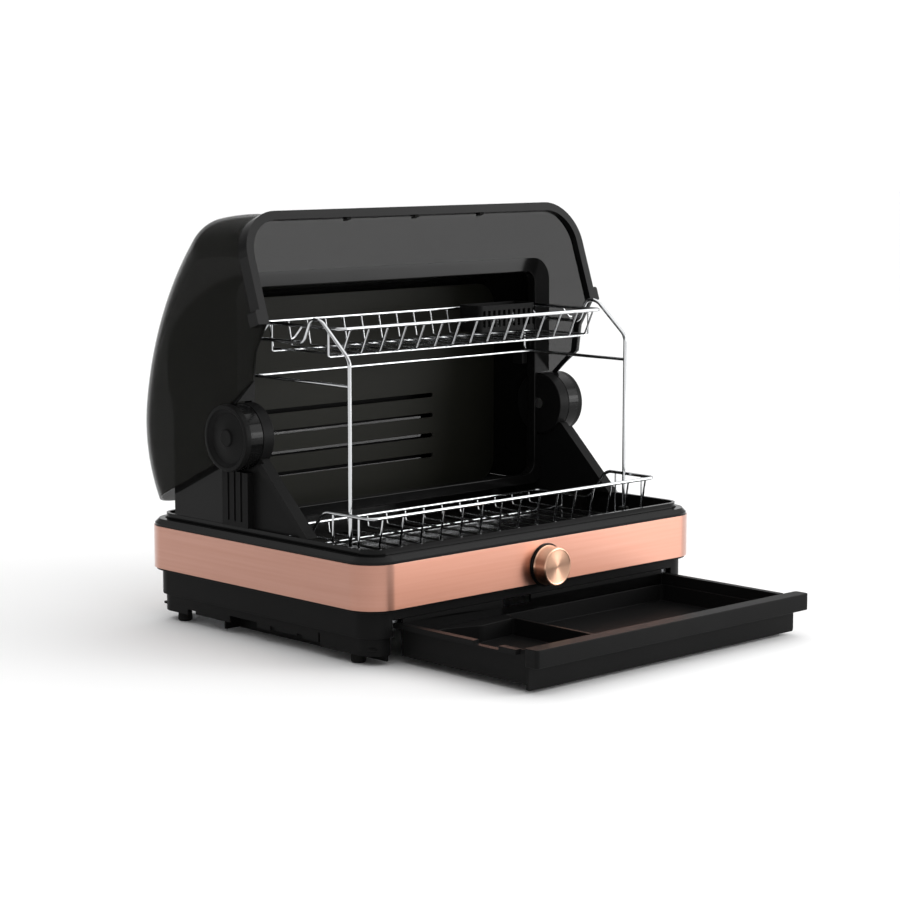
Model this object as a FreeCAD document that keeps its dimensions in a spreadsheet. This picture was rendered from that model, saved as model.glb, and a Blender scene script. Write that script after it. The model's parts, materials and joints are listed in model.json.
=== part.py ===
import FreeCAD, Part
import math
import os
import re
import Sketcher

# Dish sterilizer cabinet, in millimetres. X runs across the front, +Y to the back, +Z up.
# The origin is the centre of the footprint, on the surface that the feet stand on.
# The model is at rest with its lid thrown back and its cutlery drawer pulled out.

Vector = FreeCAD.Vector
document = FreeCAD.newDocument("DishSterilizer")

# Driving dimensions: lengths in mm, angles in degrees.
sizes = {
    # body and trim band
    "bodyWidth": 500, "bodyDepth": 380, "bodyCorner": 34,
    "bandBottom": 59, "bandHeight": 47, "bandThickness": 1.2, "shellWall": 2.5,
    # clearances between separate pieces
    "slideGap": 0.3, "bandGap": 0.2, "pinRunningFit": 0.05, "shaftClearance": 0.4,
    # rim and basin of the upper shell
    "rimInset": 1, "rimChamfer": 4.5, "deckHeight": 7, "ridgeInset": 14, "ridgeWidth": 3.5,
    "ridgeHeight": 6, "basinDepth": 24, "basinBack": 118, "grooveDepth": 1.5, "grooveWidth": 1.6,
    "ventCount": 9, "ventWidth": 8, "ventLength": 40, "ventPitch": 22, "ventY": 20,
    # lower housing, feet and bottom plate
    "housingInset": 9, "housingWall": 2.5, "skirtBottom": 16, "cornerSkirtBottom": 10,
    "frontSkirtLength": 80, "rearSkirtLength": 40, "fasciaStep": 4, "fasciaStepHeight": 29,
    "notchStart": 5, "notchLength": 48, "notchHeight": 10, "footDiameter": 16, "footHeight": 10,
    "footFromSide": 24.5, "footFromFront": 46.5, "footFromBack": 45, "bulkheadPlace": 64,
    "bottomThickness": 2.5,
    # cutlery drawer
    "drawerTravel": 183, "cornerWidth": 47, "trayInset": 4, "trayWall": 2, "trayBottom": 8,
    "trayHeight": 34, "trayLength": 182, "flangeWidth": 6,
    "flangeHeight": 5.5, "flangeStart": 12, "flangeTail": 52, "frontThickness": 3.5,
    "frontBottom": 3, "lipOverlap": 5, "lipDepth": 16.5, "lipHeight": 18, "lipRise": 4,
    "lipWall": 2.5, "openingSide": 4, "openingTop": 1.5, "runnerWall": 2, "runnerGap": 0.6,
    "runnerSetback": 3, "backNotchLeft": -54, "backNotchRight": -13, "wallNotchFront": -325,
    "wallNotchBack": -290, "insertCorner": 4, "insertRib": 4, "insertHeight": 20,
    "dividerPlace": -55, "archStart": 19, "archDepth": 24, "archEnd": 9, "archLeft": -150,
    "archRight": -110,
    # knob and timer
    "knobHeight": 78, "knobDiameter": 41.6, "knobLength": 16, "knobRingDiameter": 47,
    "knobRingThickness": 2, "knobFlare": 0.7, "knobSocket": 10, "timerBoreDepth": 14,
    "knobShaftDiameter": 6, "timerDiameter": 27, "timerLength": 24,
    # hinge
    "pivotY": 33, "pivotZ": 215.5, "drumDiameter": 71, "drumInset": 33, "drumSplitInset": 18.8,
    "capProud": 5, "pinInset": 5, "pinDiameter": 12, "washerThickness": 0.8, "washerGap": 0.1,
    "washerDiameter": 56, "hubSeat": 0.2, "coreDiameter": 60, "capDishRadius": 31,
    "capDishDepth": 4.5, "capDishSlope": 3, "capBossRadius": 8,
    # side brackets
    "bracketThickness": 10, "gussetFoot": -77, "gussetTopY": 0.7, "gussetTopZ": 193.5,
    "gussetFootLength": 45, "gussetRib": 4, "gussetRibWidth": 9, "columnRibMargin": 6,
    "columnDepth": 8, "columnFront": 15, "columnBack": 58,
    # lid, in its closed position seen from the hinge axis
    "lidOpenAngle": 108.6, "lidSideGap": 2, "lidWall": 3, "lidRadius": 178, "lidRearAngle": 78.6,
    "lidCrownAngle": 117.6, "lidFrontRadius": 357, "lidShoulderAngle": 151.1,
    "lidShoulderRadius": 50, "lidLipAngle": 188.6, "lidLipReach": 215, "lidMouthDrop": 94,
    "lidCornerRadius": 45, "lidKneeY": -48, "lidKneeZ": -54, "lidNoseReach": 98,
    "lidKneeLead": 28, "hubEnterAngle": 198.6, "hubTurnAngle": 307, "hubLeaveAngle": 56.6,
    "rimBarWidth": 6, "rimBarHeight": 12.5, "rimInnerHeight": 5, "rimOverhang": 3.5, "rimBase": 2, "rimBevel": 1.2,
    "rimEar": 5, "rimEarLength": 16, "hookGap": 0.6, "hookThickness": 3, "hookInset": 8,
    "bumperSize": 7, "bumperThickness": 2, "bumperPitch": 100,
    # rear hood and what it holds
    "hoodInset": 14, "hoodWall": 3, "hoodFront": 35, "hoodBack": 157, "hoodLowerBack": 147,
    "hoodStepZ": 245, "hoodRadius": 172, "hoodCorner": 27, "frameWidth": 24, "frameCorner": 14,
    "frameDepth": 12, "frameDrop": 16, "drumClearance": 1.5, "panelPlace": 124,
    "panelThickness": 3, "panelSlotCount": 4, "panelSlotLength": 260, "panelSlotWidth": 5,
    "panelSlotStart": 150, "panelSlotPitch": 24, "coverInset": 86, "coverBottom": 126,
    "coverThickness": 2.5, "coverLap": 8, "coverSlot": 5, "coverSlotCount": 8, "holderLap": 12,
    "lampDiameter": 8, "lampLength": 300, "lampY": 64, "lampDrop": 1,
    # wire racks
    "postDiameter": 4.4, "railDiameter": 4, "wireDiameter": 2.5, "weldDepth": 0.5, "postInset": 24.5,
    "postY": -112, "postTop": 305, "humpHeight": 343, "humpFront": -68, "humpBack": -52,
    "shelfHeight": 318, "sideRailHeight": 278, "shelfDip": -40, "shelfBack": 56,
    "rackSideGap": 17.5, "rackRearGap": 3, "rackFront": -153, "rackTop": 146, "rackDrop": 34,
    "rackShoulder": -78, "rackSlope": 26, "rackWireCount": 15,
    "rackMargin": 15.5, "rackSideWire": 20, "capDiameter": 12, "capHeight": 14, "capDepth": 10,
    "basketGap": 12, "basketFront": -85.6, "basketBack": 46, "basketTop": 334,
    "basketDepth": 28, "basketWireCount": 15, "basketMargin": 13, "bendRadius": 8,
    "holderLength": 90, "holderWidth": 40, "supportWidth": 10, "supportDepth": 16,
    # air and power
    "impellerDiameter": 84, "impellerHeight": 26, "bladeCount": 18, "bladeReach": 8,
    "bladeThickness": 1.4, "bladeMargin": 0.5, "fanGap": 2, "fanX": -95, "fanY": 122,
    "fanShaftDiameter": 5, "motorDiameter": 50, "motorHeight": 26, "heaterStart": -30,
    "heaterDiameter": 12, "ductStart": -40, "ductEnd": 130, "ductFront": 126, "ductBack": 166,
    "ductOutlet": 40, "boardFromSide": 84.5, "boardLength": 70, "boardPlace": 100,
    "boardHeight": 40, "inletFromSide": 54.5, "inletWidth": 30, "inletDepth": 24,
    "inletHeight": 24,
}
sheet = document.addObject("Spreadsheet::Sheet", "Sizes")
for row, (name, number) in enumerate(sizes.items(), start=1):
    sheet.set("A%d" % row, name)
    sheet.set("B%d" % row, str(number))
    sheet.setAlias("B%d" % row, name)
document.recompute()

# Places and sizes that follow from the driving dimensions, as formulas in a sheet of their own.
formulas = {
    "bandTop": "bandBottom + bandHeight",
    "shellHalfX": "bodyWidth/2 - bandThickness",
    "shellHalfY": "bodyDepth/2 - bandThickness",
    "deckTop": "bandTop + deckHeight",
    "ridgeTop": "deckTop + ridgeHeight",
    "basinFloor": "ridgeTop - basinDepth",
    "basinInset": "ridgeInset + ridgeWidth",
    "basinHalfX": "bodyWidth/2 - basinInset",
    "basinFront": "basinInset - bodyDepth/2",
    "housingHalfX": "bodyWidth/2 - housingInset",
    "housingHalfY": "bodyDepth/2 - housingInset",
    "housingFront": "housingInset + fasciaStep - bodyDepth/2",
    "housingInner": "bodyWidth/2 - housingInset - fasciaStep - housingWall",
    "plateHalf": "housingInner - slideGap",
    "plateTop": "skirtBottom + housingWall + bottomThickness",
    "fanFloor": "plateTop + shellWall + fanGap",
    "plateBack": "bodyDepth/2 - housingInset - fasciaStep - housingWall - slideGap",
    "plateCorner": "bodyCorner - housingInset - fasciaStep - housingWall - slideGap",
    "basinCorner": "bodyCorner - basinInset",
    "rimHollowInset": "bandThickness + shellWall",
    "firstVentX": "-ventPitch*(ventCount - 1)/2",
    "footX": "bodyWidth/2 - footFromSide",
    "footBackY": "bodyDepth/2 - footFromBack",
    "footFrontY": "footFromFront - bodyDepth/2",
    "frontWidth": "bodyWidth - 2*cornerWidth",
    "lipWidth": "frontWidth + 2*lipOverlap",
    "trayWidth": "frontWidth - 2*trayInset",
    "closedFace": "-housingHalfY",
    "openFace": "closedFace - drawerTravel",
    "trayFront": "openFace + frontThickness",
    "trayBack": "trayFront + trayLength",
    "trayTop": "trayBottom + trayHeight",
    "trayFloor": "trayBottom + trayWall",
    "frontTop": "trayTop + lipRise",
    "lipBottom": "frontTop - lipHeight",
    "openingHalf": "lipWidth/2 + openingSide",
    "openingTopZ": "frontTop + openingTop",
    "drumInner": "bodyWidth/2 - drumInset",
    "drumSplit": "bodyWidth/2 - drumSplitInset",
    "drumOuter": "bodyWidth/2 + capProud",
    "bracketOuter": "basinHalfX - slideGap",
    "bracketInner": "bracketOuter - bracketThickness",
    "columnOuter": "bracketOuter + columnDepth",
    "bracketFoot": "ridgeTop + slideGap",
    "columnTop": "pivotZ - drumDiameter/2 - drumClearance",
    "pinEnd": "bodyWidth/2 - pinInset",
    "hubEnterY": "drumDiameter/2*cos(hubEnterAngle)",
    "hubEnterZ": "drumDiameter/2*sin(hubEnterAngle)",
    "hubTurnY": "drumDiameter/2*cos(hubTurnAngle)",
    "hubTurnZ": "drumDiameter/2*sin(hubTurnAngle)",
    "hubLeaveY": "drumDiameter/2*cos(hubLeaveAngle)",
    "hubLeaveZ": "drumDiameter/2*sin(hubLeaveAngle)",
    "lidRearY": "lidRadius*cos(lidRearAngle)",
    "lidRearZ": "lidRadius*sin(lidRearAngle)",
    "lidHalf": "bodyWidth/2 - lidSideGap",
    "lidCrownY": "lidRadius*cos(lidCrownAngle)",
    "lidCrownZ": "lidRadius*sin(lidCrownAngle)",
    "lidFrontCentreY": "(lidRadius - lidFrontRadius)*cos(lidCrownAngle)",
    "lidFrontCentreZ": "(lidRadius - lidFrontRadius)*sin(lidCrownAngle)",
    "lidShoulderCentreY": "lidFrontCentreY + (lidFrontRadius - lidShoulderRadius)*cos(lidShoulderAngle)",
    "lidShoulderCentreZ": "lidFrontCentreZ + (lidFrontRadius - lidShoulderRadius)*sin(lidShoulderAngle)",
    "lidShoulderY": "lidFrontCentreY + lidFrontRadius*cos(lidShoulderAngle)",
    "lidShoulderZ": "lidFrontCentreZ + lidFrontRadius*sin(lidShoulderAngle)",
    "lidLipStartY": "lidShoulderCentreY + lidShoulderRadius*cos(lidLipAngle)",
    "lidLipStartZ": "lidShoulderCentreZ + lidShoulderRadius*sin(lidLipAngle)",
    "lidChordY": "-lidLipReach - lidShoulderCentreY - lidShoulderRadius*cos(lidLipAngle)",
    "lidChordZ": "-lidMouthDrop - lidShoulderCentreZ - lidShoulderRadius*sin(lidLipAngle)",
    "lidChord": "sqrt(lidChordY^2 + lidChordZ^2)",
    # the arc that leaves the shoulder and ends at the lip turns through twice this angle's sine
    "lidLipSine": "(lidChordY*cos(lidLipAngle) + lidChordZ*sin(lidLipAngle))/lidChord",
    "lidLipRadius": "-lidChord/(2*lidLipSine)",
    "lidLipCentreY": "lidShoulderCentreY + (lidShoulderRadius - lidLipRadius)*cos(lidLipAngle)",
    "lidLipCentreZ": "lidShoulderCentreZ + (lidShoulderRadius - lidLipRadius)*sin(lidLipAngle)",
    "hookHalf": "lidHalf - lidCornerRadius - hookInset",
    "hookReach": "lidRadius - hoodRadius - hookGap",
    "hookAngle": "hookThickness/lidRadius*180/3.14159",
    "hookOuterY": "lidRadius*cos(lidRearAngle + hookAngle)",
    "hookOuterZ": "lidRadius*sin(lidRearAngle + hookAngle)",
    "hookInnerY": "(lidRadius - hookReach)*cos(lidRearAngle + hookAngle)",
    "hookInnerZ": "(lidRadius - hookReach)*sin(lidRearAngle + hookAngle)",
    "hookEndY": "(lidRadius - hookReach)*cos(lidRearAngle)",
    "hookEndZ": "(lidRadius - hookReach)*sin(lidRearAngle)",
    "lidPanelInner": "lidHalf - lidWall",
    "lidHubStart": "drumSplit + washerThickness + washerGap",
    "rimOuterHalf": "lidHalf + rimOverhang",
    "rimInnerHalf": "lidHalf - rimBarWidth",
    "rimOuterFront": "-lidLipReach - rimOverhang",
    "rimInnerFront": "rimBarWidth - lidLipReach",
    "rimOuterRound": "lidCornerRadius + rimOverhang",
    "rimInnerRound": "lidCornerRadius - rimBarWidth",
    "earEnd": "rimOuterHalf + rimEar",
    "hoodFoot": "ridgeTop + slideGap",
    "panelHalf": "basinHalfX - slideGap",
    "coverTop": "hoodStepZ - hoodWall",
    "holderTop": "lampZ + lampDiameter/2 + lampDrop - hoodWall",
    "insertHalf": "trayWidth/2 - trayWall - slideGap",
    "insertFront": "trayFront + trayWall + slideGap",
    "insertBack": "trayBack - trayWall - slideGap",
    "knobBack": "knobBase - knobRingThickness - slideGap",
    "knobFace": "knobBack - knobLength",
    "timerFront": "knobBase + bandThickness + shellWall",
    "shaftReach": "timerFront + timerBoreDepth - knobBack - slideGap",
    "hoodHalf": "bodyWidth/2 - hoodInset",
    "coverHalf": "hoodHalf - coverInset",
    "frameInner": "hoodHalf - frameWidth",
    "hoodTopFront": "pivotZ + sqrt(hoodRadius^2 - (hoodFront - pivotY)^2)",
    "hoodTopBack": "pivotZ + sqrt(hoodRadius^2 - (hoodBack - pivotY)^2)",
    "hoodInnerRadius": "hoodRadius - hoodWall",
    "hoodInnerBack": "hoodBack - hoodWall",
    "hoodInnerTop": "pivotZ + sqrt(hoodInnerRadius^2 - (hoodFront - pivotY)^2)",
    "hoodInnerTopBack": "pivotZ + sqrt(hoodInnerRadius^2 - (hoodInnerBack - pivotY)^2)",
    "frameTop": "hoodTopFront - frameDrop",
    "panelTop": "pivotZ + sqrt(hoodInnerRadius^2 - (panelPlace + panelThickness - pivotY)^2) - hoodWall",
    "lampZ": "pivotZ + sqrt(hoodInnerRadius^2 - (lampY - pivotY)^2) - lampDrop - lampDiameter/2",
    "knobBase": "-bodyDepth/2",
    "rackCross": "basinFloor + slideGap + wireDiameter/2",
    "rackFloor": "rackCross + wireDiameter - weldDepth",
    "basketFloor": "basketTop - basketDepth",
    "basketCross": "basketFloor - wireDiameter + weldDepth",
    "fanTop": "fanFloor + impellerHeight",
    "rackHalf": "basinHalfX - rackSideGap",
    "rackBack": "hoodFront - rackRearGap",
    "rackLow": "rackTop - rackDrop",
    "rackSpread": "rackHalf - rackMargin",
    "postX": "basinHalfX - postInset",
    "basketHalf": "postX - basketGap",
    "basketSpread": "basketHalf - basketMargin",
    "capTop": "basinFloor + capHeight",
    "boardStart": "housingInner - boardFromSide",
    "inletPlace": "housingInner - inletFromSide",
    "hookHeight": "shelfHeight + postDiameter/2 + wireDiameter/2 + slideGap",
}
owner = {name: "Sizes." for name in sizes}
owner.update({name: "Layout." for name in formulas})


def link(text):
    # Names of sizes and of worked-out places become references to their sheets.
    return re.sub(r"[A-Za-z]\w*", lambda word: owner.get(word.group(), "") + word.group(), str(text))


layout = document.addObject("Spreadsheet::Sheet", "Layout")
for row, (name, formula) in enumerate(formulas.items(), start=1):
    layout.set("A%d" % row, name)
    layout.set("B%d" % row, "=" + link(formula).replace("Layout.", ""))
    layout.setAlias("B%d" % row, name)
document.recompute()


def measure(text):
    result = sheet.evalExpression(link(text))
    return float(getattr(result, "Value", result))


# ---- sketches and features ----

def newBody(label):
    body = document.addObject("PartDesign::Body", label)
    body.Label = label
    return body


def sketchOn(body, name, plane, place, alongY=None):
    # A sketch on one of the body's own planes, moved along that plane's axis to its place.
    sketch = body.newObject("Sketcher::SketchObject", name)
    support = next(item for item in body.Origin.OriginFeatures if item.Role == plane + "_Plane")
    sketch.AttachmentSupport = [(support, "")]
    sketch.MapMode = "FlatFace"
    sign = "-1" if plane == "XZ" else "1"
    sketch.setExpression("AttachmentOffset.Base.z", link("%s*(%s)" % (sign, place)))
    if alongY is not None:
        sketch.setExpression("AttachmentOffset.Base.y", link(alongY))
    return sketch


def pin(sketch, geometry, end, across, up):
    # Ties one end of a line, or an arc's end or centre, to its two coordinates.
    for kind, text in (("DistanceX", across), ("DistanceY", up)):
        index = sketch.addConstraint(Sketcher.Constraint(kind, -1, 1, geometry, end, measure(text)))
        sketch.setExpression("Constraints[%d]" % index, link(text))


def arcBetween(start, end, radius, left):
    middle = (start + end)*0.5
    chord = end - start
    rise = math.sqrt(max(radius**2 - (chord.Length/2)**2, 0))
    side = Vector(-chord.y, chord.x, 0).normalize()
    centre = middle + side*(rise if left else -rise)
    angles = [math.atan2(point.y - centre.y, point.x - centre.x) for point in (start, end)]
    if not left:
        angles.reverse()
    return Part.ArcOfCircle(Part.Circle(centre, Vector(0, 0, 1), radius), angles[0], angles[1])


def outline(sketch, corners):
    # A closed outline. A corner is (across, up), or (across, up, radius, turn) when an arc that
    # turns "left" or "right" leads to it from the corner before.
    points = [Vector(measure(corner[0]), measure(corner[1]), 0) for corner in corners]
    starts, ends = [], []
    for number, corner in enumerate(corners):
        first, last = points[number - 1], points[number]
        if len(corner) == 2:
            item = sketch.addGeometry(Part.LineSegment(first, last))
            starts.append((item, 1))
            ends.append((item, 2))
            continue
        left = corner[3] == "left"
        item = sketch.addGeometry(arcBetween(first, last, measure(corner[2]), left))
        starts.append((item, 1 if left else 2))
        ends.append((item, 2 if left else 1))
        index = sketch.addConstraint(Sketcher.Constraint("Radius", item, measure(corner[2])))
        sketch.setExpression("Constraints[%d]" % index, link(corner[2]))
    for number, corner in enumerate(corners):
        following = starts[(number + 1) % len(corners)]
        sketch.addConstraint(Sketcher.Constraint("Coincident", *ends[number], *following))
        pin(sketch, ends[number][0], ends[number][1], corner[0], corner[1])


def circle(sketch, across, up, radius):
    centre = Vector(measure(across), measure(up), 0)
    item = sketch.addGeometry(Part.Circle(centre, Vector(0, 0, 1), measure(radius)))
    pin(sketch, item, 3, across, up)
    index = sketch.addConstraint(Sketcher.Constraint("Radius", item, measure(radius)))
    sketch.setExpression("Constraints[%d]" % index, link(radius))


def rectangle(left, right, low, high):
    return [(left, low), (right, low), (right, high), (left, high)]


def roundedRectangle(left, right, low, high, radius):
    inLeft, inRight = "(%s) + (%s)" % (left, radius), "(%s) - (%s)" % (right, radius)
    inLow, inHigh = "(%s) + (%s)" % (low, radius), "(%s) - (%s)" % (high, radius)
    return [(inLeft, low, radius, "left"), (inRight, low), (right, inLow, radius, "left"),
            (right, inHigh), (inRight, high, radius, "left"), (inLeft, high),
            (left, inHigh, radius, "left"), (left, inLow)]


def insetPlan(inset):
    # The body's plan, with its round corners, drawn a given distance inside its outer face.
    return roundedRectangle("(%s) - bodyWidth/2" % inset, "bodyWidth/2 - (%s)" % inset,
                            "(%s) - bodyDepth/2" % inset, "bodyDepth/2 - (%s)" % inset,
                            "bodyCorner - (%s)" % inset)


def finishFeature(body, feature):
    before = feature.BaseFeature.Shape.Volume if feature.BaseFeature else 0
    document.recompute()
    if abs(feature.Shape.Volume - before) < 0.5:
        raise ValueError("%s of %s changes nothing" % (feature.Name, body.Label))
    return feature


def prism(body, name, plane, start, end, *outlines, cut=False, taper=None):
    # Adds or cuts a prism between two places along the plane's axis.
    sketch = sketchOn(body, name + "Sketch", plane, start)
    for corners in outlines:
        if isinstance(corners, dict):
            circle(sketch, corners["across"], corners["up"], corners["radius"])
        else:
            outline(sketch, corners)
    document.recompute()
    feature = body.newObject("PartDesign::Pocket" if cut else "PartDesign::Pad", name)
    feature.Profile = sketch
    feature.setExpression("Length", link("(%s) - (%s)" % (end, start)))
    feature.Reversed = (plane == "XZ") != cut
    if taper:
        feature.setExpression("TaperAngle", link(taper))
    return finishFeature(body, feature)


def disc(across, up, radius):
    return {"across": across, "up": up, "radius": radius}


def revolved(body, name, plane, place, corners, axis, alongY=None):
    sketch = sketchOn(body, name + "Sketch", plane, place, alongY)
    outline(sketch, corners)
    document.recompute()
    feature = body.newObject("PartDesign::Revolution", name)
    feature.Profile = sketch
    feature.ReferenceAxis = (sketch, [axis])
    feature.Angle = 360
    return finishFeature(body, feature)


def edgesWhere(shape, test):
    return ["Edge%d" % number for number, edge in enumerate(shape.Edges, start=1) if test(edge)]


def blended(body, kind, name, size, test):
    base = body.Tip
    feature = body.newObject("PartDesign::" + kind, name)
    feature.Base = (base, edgesWhere(base.Shape, test))
    feature.setExpression("Radius" if kind == "Fillet" else "Size", link(size))
    return finishFeature(body, feature)


def patterned(body, name, source, plane, direction, span, count):
    pattern = body.newObject("PartDesign::LinearPattern", name)
    pattern.Originals = [source]
    axis = next(item for item in body.Origin.OriginFeatures if item.Role == direction + "_Axis")
    pattern.Direction = (axis, [""])
    pattern.setExpression("Length", link(span))
    pattern.setExpression("Occurrences", link(count))
    body.Tip = pattern
    return finishFeature(body, pattern)


def middleOf(edge):
    return edge.valueAt((edge.FirstParameter + edge.LastParameter)/2)


def near(value, target, slack=0.05):
    return abs(value - target) < slack


def box(label, x, y, z):
    # A plain block between two places along each axis.
    item = document.addObject("Part::Box", label)
    item.Label = label
    for size, letter, span in (("Length", "x", x), ("Width", "y", y), ("Height", "z", z)):
        item.setExpression(size, link("(%s) - (%s)" % (span[1], span[0])))
        item.setExpression("Placement.Base." + letter, link(span[0]))
    return item


turns = {"X": FreeCAD.Rotation(Vector(0, 1, 0), 90), "Y": FreeCAD.Rotation(Vector(1, 0, 0), -90),
         "Z": FreeCAD.Rotation()}


def cylinder(label, axis, place, radius, length):
    # A cylinder that starts at its place and runs along +X, +Y or +Z.
    item = document.addObject("Part::Cylinder", label)
    item.Label = label
    item.Placement.Rotation = turns[axis]
    item.setExpression("Radius", link(radius))
    item.setExpression("Height", link(length))
    for letter, text in zip("xyz", place):
        item.setExpression("Placement.Base." + letter, link(text))
    return item


def joined(label, *items):
    whole = document.addObject("Part::MultiFuse", label)
    whole.Label = label
    whole.Shapes = list(items)
    return whole


def cutAway(label, base, tool):
    whole = document.addObject("Part::Cut", label)
    whole.Label = label
    whole.Base = base
    whole.Tool = tool
    return whole


def gathered(label, items):
    # Separate solids that share a node.
    whole = document.addObject("Part::Compound", label)
    whole.Label = label
    whole.Links = items
    return whole


def plainFeature(label, shape):
    item = document.addObject("Part::Feature", label)
    item.Label = label
    item.Shape = shape
    return item


def onLid(item):
    # Lid pieces are drawn closed, about the hinge axis, and swung open together.
    item.Placement = FreeCAD.Placement(Vector(), FreeCAD.Rotation(Vector(1, 0, 0), -1))
    item.setExpression("Placement.Base.y", link("pivotY"))
    item.setExpression("Placement.Base.z", link("pivotZ"))
    item.setExpression("Placement.Rotation.Angle", link("-lidOpenAngle"))
    return item


sides = {"left": -1, "right": 1}


def spanX(side, inner, outer):
    # The two places across the body between an inner and an outer distance from the middle.
    if side > 0:
        return (inner, outer)
    return ("-(%s)" % outer, "-(%s)" % inner)


parts = []


def keep(item):
    parts.append(item)
    return item


# ---- lower housing, bottom plate and feet ----

lowerHousing = newBody("lower_housing")
prism(lowerHousing, "LowerTier", "XY", "skirtBottom", "fasciaStepHeight",
      insetPlan("housingInset + fasciaStep"))
prism(lowerHousing, "UpperTier", "XY", "fasciaStepHeight", "bandBottom",
      insetPlan("housingInset"))
prism(lowerHousing, "Flange", "XY", "bandBottom - housingWall", "bandBottom",
      insetPlan("2*bandThickness"))
prism(lowerHousing, "Hollow", "XY", "skirtBottom", "bandBottom",
      insetPlan("housingInset + fasciaStep + housingWall"), cut=True)
prism(lowerHousing, "BayWalls", "XY", "skirtBottom", "bandBottom",
      *[rectangle(*spanX(side, "openingHalf", "openingHalf + housingWall"),
                  "housingFront", "bulkheadPlace") for side in sides.values()])
prism(lowerHousing, "Bulkhead", "XY", "skirtBottom", "bandBottom",
      rectangle("-housingInner", "housingInner", "bulkheadPlace", "bulkheadPlace + housingWall"))
prism(lowerHousing, "FrontFloors", "XY", "cornerSkirtBottom", "skirtBottom + housingWall",
      *[rectangle(*spanX(side, "openingHalf", "housingInner + housingWall"), "housingFront",
                  "housingFront + frontSkirtLength") for side in sides.values()])
prism(lowerHousing, "RearFloors", "XY", "cornerSkirtBottom", "skirtBottom + housingWall",
      *[rectangle(*spanX(side, "housingInner - rearSkirtLength", "housingInner + housingWall"),
                  "-housingFront - rearSkirtLength", "-housingFront") for side in sides.values()])
prism(lowerHousing, "CornerTrim", "XY", "0", "fasciaStepHeight", insetPlan("-bandThickness"),
      insetPlan("housingInset + fasciaStep"), cut=True)
prism(lowerHousing, "DrawerOpening", "XZ", "-bodyDepth/2", "housingFront + housingWall",
      rectangle("-openingHalf", "openingHalf", "0", "openingTopZ"), cut=True)
prism(lowerHousing, "SideNotches", "YZ", "-bodyWidth/2", "bodyWidth/2",
      rectangle("notchStart", "notchStart + notchLength", "0", "skirtBottom + notchHeight"), cut=True)
keep(lowerHousing)

bottomPlate = newBody("bottom_plate")
prism(bottomPlate, "Plate", "XY", "plateTop - bottomThickness", "plateTop",
      roundedRectangle("-plateHalf", "plateHalf", "bulkheadPlace + housingWall + slideGap",
                       "plateBack", "plateCorner"))
keep(bottomPlate)

footPlaces = [(x, y) for y in ("footFrontY", "footBackY") for x in ("-footX", "footX")]
keep(gathered("feet", [cylinder("Foot%d" % number, "Z", (x, y, "0"), "footDiameter/2", "footHeight")
                       for number, (x, y) in enumerate(footPlaces, start=1)]))

# ---- upper shell and trim band ----

upperShell = newBody("upper_shell")
prism(upperShell, "Skirt", "XY", "bandBottom", "bandTop", insetPlan("bandThickness"))
prism(upperShell, "Deck", "XY", "bandTop", "deckTop", insetPlan("rimInset"))
blended(upperShell, "Chamfer", "DeckChamfer", "rimChamfer",
        lambda edge: near(middleOf(edge).z, measure("deckTop")) and near(edge.BoundBox.ZLength, 0))
prism(upperShell, "Ridge", "XY", "deckTop", "ridgeTop", insetPlan("ridgeInset"),
      insetPlan("ridgeInset + ridgeWidth"))
prism(upperShell, "Groove", "XY", "deckTop - grooveDepth", "deckTop",
      insetPlan("ridgeInset - grooveWidth"), insetPlan("ridgeInset"), cut=True)
prism(upperShell, "Basin", "XY", "basinFloor", "ridgeTop",
      roundedRectangle("-basinHalfX", "basinHalfX", "basinFront", "basinBack", "basinCorner"), cut=True)
prism(upperShell, "Underside", "XY", "bandBottom", "basinFloor - shellWall",
      insetPlan("bandThickness + shellWall"), cut=True)
prism(upperShell, "RimHollow", "XY", "basinFloor - shellWall", "deckTop - shellWall",
      insetPlan("rimHollowInset"), insetPlan("ridgeInset"), cut=True)
prism(upperShell, "RearHollow", "XY", "basinFloor - shellWall", "deckTop - shellWall",
      roundedRectangle("-basinHalfX", "basinHalfX", "basinBack + shellWall",
                       "-basinFront", "basinCorner"), cut=True)
firstVent = prism(upperShell, "Vent", "XY", "basinFloor - shellWall", "basinFloor",
                  roundedRectangle("firstVentX - ventWidth/2", "firstVentX + ventWidth/2",
                                   "ventY - ventLength/2", "ventY + ventLength/2", "ventWidth/2.1"),
                  cut=True)
patterned(upperShell, "Vents", firstVent, "XY", "X", "ventPitch*(ventCount - 1)", "ventCount")
keep(upperShell)

trimBand = newBody("trim_band")
prism(trimBand, "Band", "XY", "bandBottom", "bandTop - bandGap", insetPlan("0"),
      insetPlan("bandThickness"))
keep(trimBand)

# ---- side brackets, hinge pins, washers ----

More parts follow.
